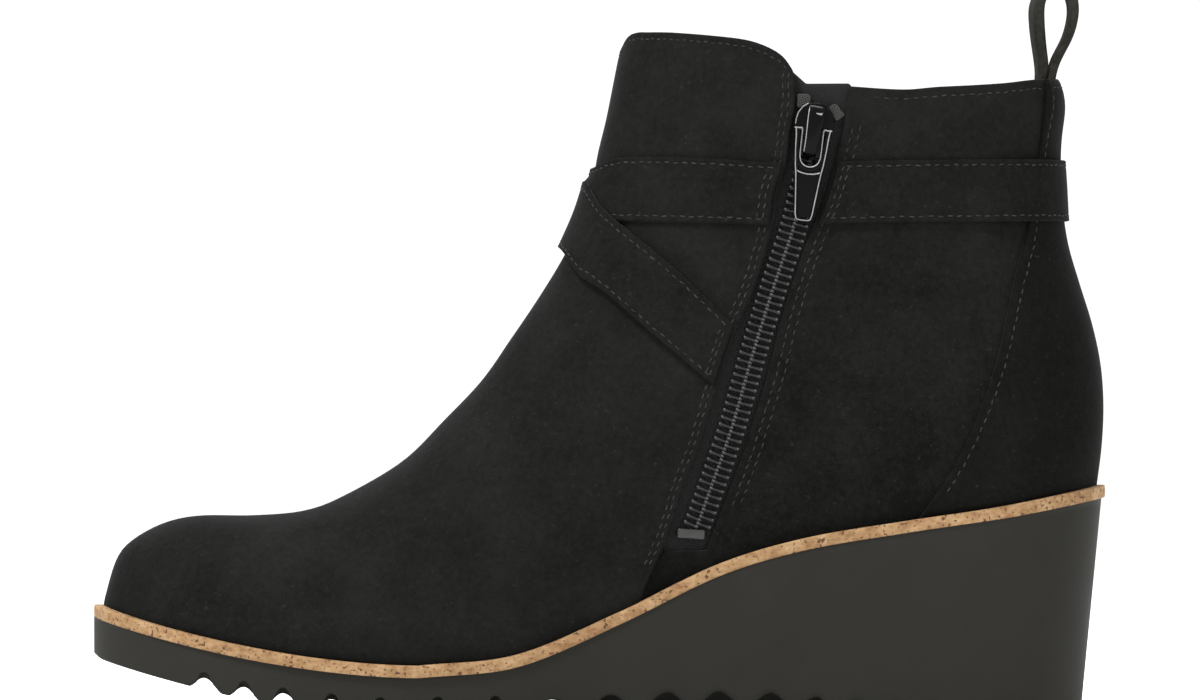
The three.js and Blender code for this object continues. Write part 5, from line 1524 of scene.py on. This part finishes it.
def pull_tab():
    """The tab: a rounded U frame with horns, a rim that narrows to its foot, and a sunk plate between."""
    outline = both_halves([(4.05, 0.5), (3.7, 0.1), (3.55, -3), (3.4, -7), (3.2, -9.4), (2.9, -13.4),
                           (2.4, -18.4), (1.95, -21.4), (1.3, -22.3), (0, -22.4)])
    path = soften(spread(outline, 90), 3)
    rim = flat_tube(path, mix(0.95, 1.5, smoothstep(path[:, 1], -12, -8)), 1.25, sides=14, square=3)
    angle = np.linspace(-math.pi * 0.93, -math.pi * 0.07, 24)
    lip = np.column_stack([3.1 * np.cos(angle), -6.6 + 3.3 * np.sin(angle)])
    lip = flat_tube(lip, 1.1, 1.1, sides=12, square=3)
    down = np.linspace(0, 1, 24)[:, None]
    across = np.linspace(-1, 1, 15)[None]
    top = -6.6 - np.sqrt(3.3 ** 2 - (3.05 * across) ** 2)
    y = mix(top, -22.1 + 0 * across, down)
    x = across * np.interp(-y, [3, 9.4, 13.4, 18.4, 21.4, 22.2], [3.5, 3.2, 2.9, 2.4, 1.9, 1.4])
    plate = sheet(np.stack([x, y, 0 * x + 0.28], axis=2), np.stack([x, y, 0 * x - 0.35], axis=2))
    pin_x = np.linspace(-3.4, 3.4, 9)
    pin_line = np.column_stack([pin_x, 0 * pin_x, 0 * pin_x])
    pin = tube(pin_line, np.array([0.0, 1.0, 0.0]), UP, 1.15, 1.15, sides=14)
    # Painted highlights in a light colour: lines along the rim's outer edge and the hole's edge, across the
    # plate just under the lip, and over the horns' tops
    edges = join([
        painted_highlight_edge(both_halves([
            (4.3, 0.48), (4.27, 0.1), (4.05, -1.5), (3.85, -5), (3.45, -9), (3.1, -11), (2.75, -14.5),
            (2.1, -21.2), (1.75, -22.35), (1.2, -22.55), (0, -22.6)]), 0.52),
        painted_highlight_edge(both_halves([
            (3.3, 0.48), (2.75, 0.4), (2.62, -0.3), (2.6, -6.6), (2.25, -7.9), (1.84, -8.44), (1.3, -8.85),
            (0.7, -9.1), (0, -9.2)]), 0.52),
        painted_highlight_edge(both_halves([(3.0, -10.3), (2.4, -10.6), (1.2, -10.9), (0, -11)]), 0.45),
        painted_highlight_edge([(-4.7, 0.3), (-2.9, 0.36)], 0.5, 0.2),
        painted_highlight_edge([(2.9, 0.36), (4.7, 0.3)], 0.5, 0.2)])
    hang = math.radians(3.4)
    edges = on_zip(edges, SLIDER_UP, SLIDER_ACROSS, PIN_OUT, hang)
    add_piece("pull_tab_edges", edges, HIGHLIGHT_PAINT, body="pull_tab")
    shape = on_zip(join([rim, lip, plate, pin]), SLIDER_UP, SLIDER_ACROSS, PIN_OUT, hang)
    add_piece("pull_tab_body", shape, GLOSS_BLACK, ["zip_pull_tab"], body="pull_tab")


def small_ends():
    """The bottom stop and the two folded ends of the tape beside the slider."""
    stop = smooth_loop([(-3.5, -1.25), (3.5, -1.25), (3.5, 1.25), (-3.5, 1.25)], 56)
    stop = cushion(stop, COIL_FOOT, COIL_FOOT + 1.75, 0.5, crown=0.1)
    stop = on_zip(stop, STOP_UP, across=-0.5, turn=0.36)
    add_piece("bottom_stop", stop, STOP_METAL, ["zip_bottom_stop"])
    for name, node, corners, up, across, turn in (
            ("front_tape_end", "tape_end_front",
             [(-1.7, -1.7), (1.7, -1.7), (1.7, 1.2), (1, 1.8), (-1.7, 1.7)], 0.943, -4.3, 0.05),
            ("back_tape_end", "tape_end_back",
             [(-1.3, -2.0), (1.3, -2.0), (1.3, 1.4), (0.7, 2.0), (-1.3, 2.0)], 0.925, 4.0, 0.75)):
        end = cushion(smooth_loop(corners, 40, 1), COIL_FOOT - 0.2, COIL_FOOT + 1.1, 0.3)
        add_piece(name, on_zip(end, up, across=across, turn=turn), TAPE_FOLD, [node])


# The stage
def studio():
    """A wide pale floor, a bright even sky, and three soft lights."""
    x = np.linspace(-9, 9, 13)
    points = np.stack(np.broadcast_arrays(x[None], x[:, None], np.zeros((13, 13))), axis=2)
    mesh = bpy.data.meshes.new("floor")
    faces = grid_faces(13, 13)
    mesh.from_pydata(points.reshape(-1, 3).tolist(), [], faces.tolist())
    mesh.polygons.foreach_set("use_smooth", np.ones(len(faces), bool))
    paint = Finish("floor_paint", Roughness=0.95, Specular_IOR_Level=0.0)
    paint.colour(paint.ramp(paint.noise(3), [(0.3, (0.93, 0.93, 0.93)), (0.7, (0.95, 0.95, 0.95))]))
    mesh.materials.append(paint.material)
    floor = bpy.data.objects.new("floor", mesh)
    bpy.context.scene.collection.objects.link(floor)

    world = bpy.data.worlds.new("sky")
    world.use_nodes = True
    world.node_tree.nodes["Background"].inputs["Color"].default_value = (1, 1, 1, 1)
    world.node_tree.nodes["Background"].inputs["Strength"].default_value = 1.1
    bpy.context.scene.world = world
    for name, place, target, size, power in (
            ("key", (-0.6, -0.7, 1.4), (0, 0, 0.08), 0.35, 24),
            ("fill", (0.9, -1.2, 0.9), (0, 0, 0.08), 0.5, 2.5),
            ("top", (0.1, 0.5, 1.5), (0, 0, 0.05), 0.8, 13)):
        data = bpy.data.lights.new(name, "AREA")
        data.shape = "SQUARE"
        data.size = size
        data.energy = power
        lamp = bpy.data.objects.new(name, data)
        bpy.context.scene.collection.objects.link(lamp)
        aim(lamp, place, target)


def aim(thing, place, target):
    """Puts a lamp or a camera at a place and turns it towards a target."""
    thing.location = place
    thing.rotation_euler = (Vector(target) - Vector(place)).to_track_quat("-Z", "Y").to_euler()


def camera():
    """The photograph's view: level, square to the boot's side, through a long lens."""
    distance, frame_width, height = 2.6, 0.30416, 0.09227
    data = bpy.data.cameras.new("camera")
    data.sensor_width = 36
    data.lens = data.sensor_width * distance / frame_width
    data.clip_end = 50
    eye = bpy.data.objects.new("camera", data)
    bpy.context.scene.collection.objects.link(eye)
    aim(eye, (0, -distance, height), (0, 0, height))
    bpy.context.scene.camera = eye


front_panel()
quarters()
lining()
heel_counter()
straps()
rand()
outsole()
footbed()
pull_loop()
zip_tape()
zip_coil()
slider()
pull_tab()
small_ends()
studio()
camera()
bpy.context.scene.view_settings.view_transform = "Standard"
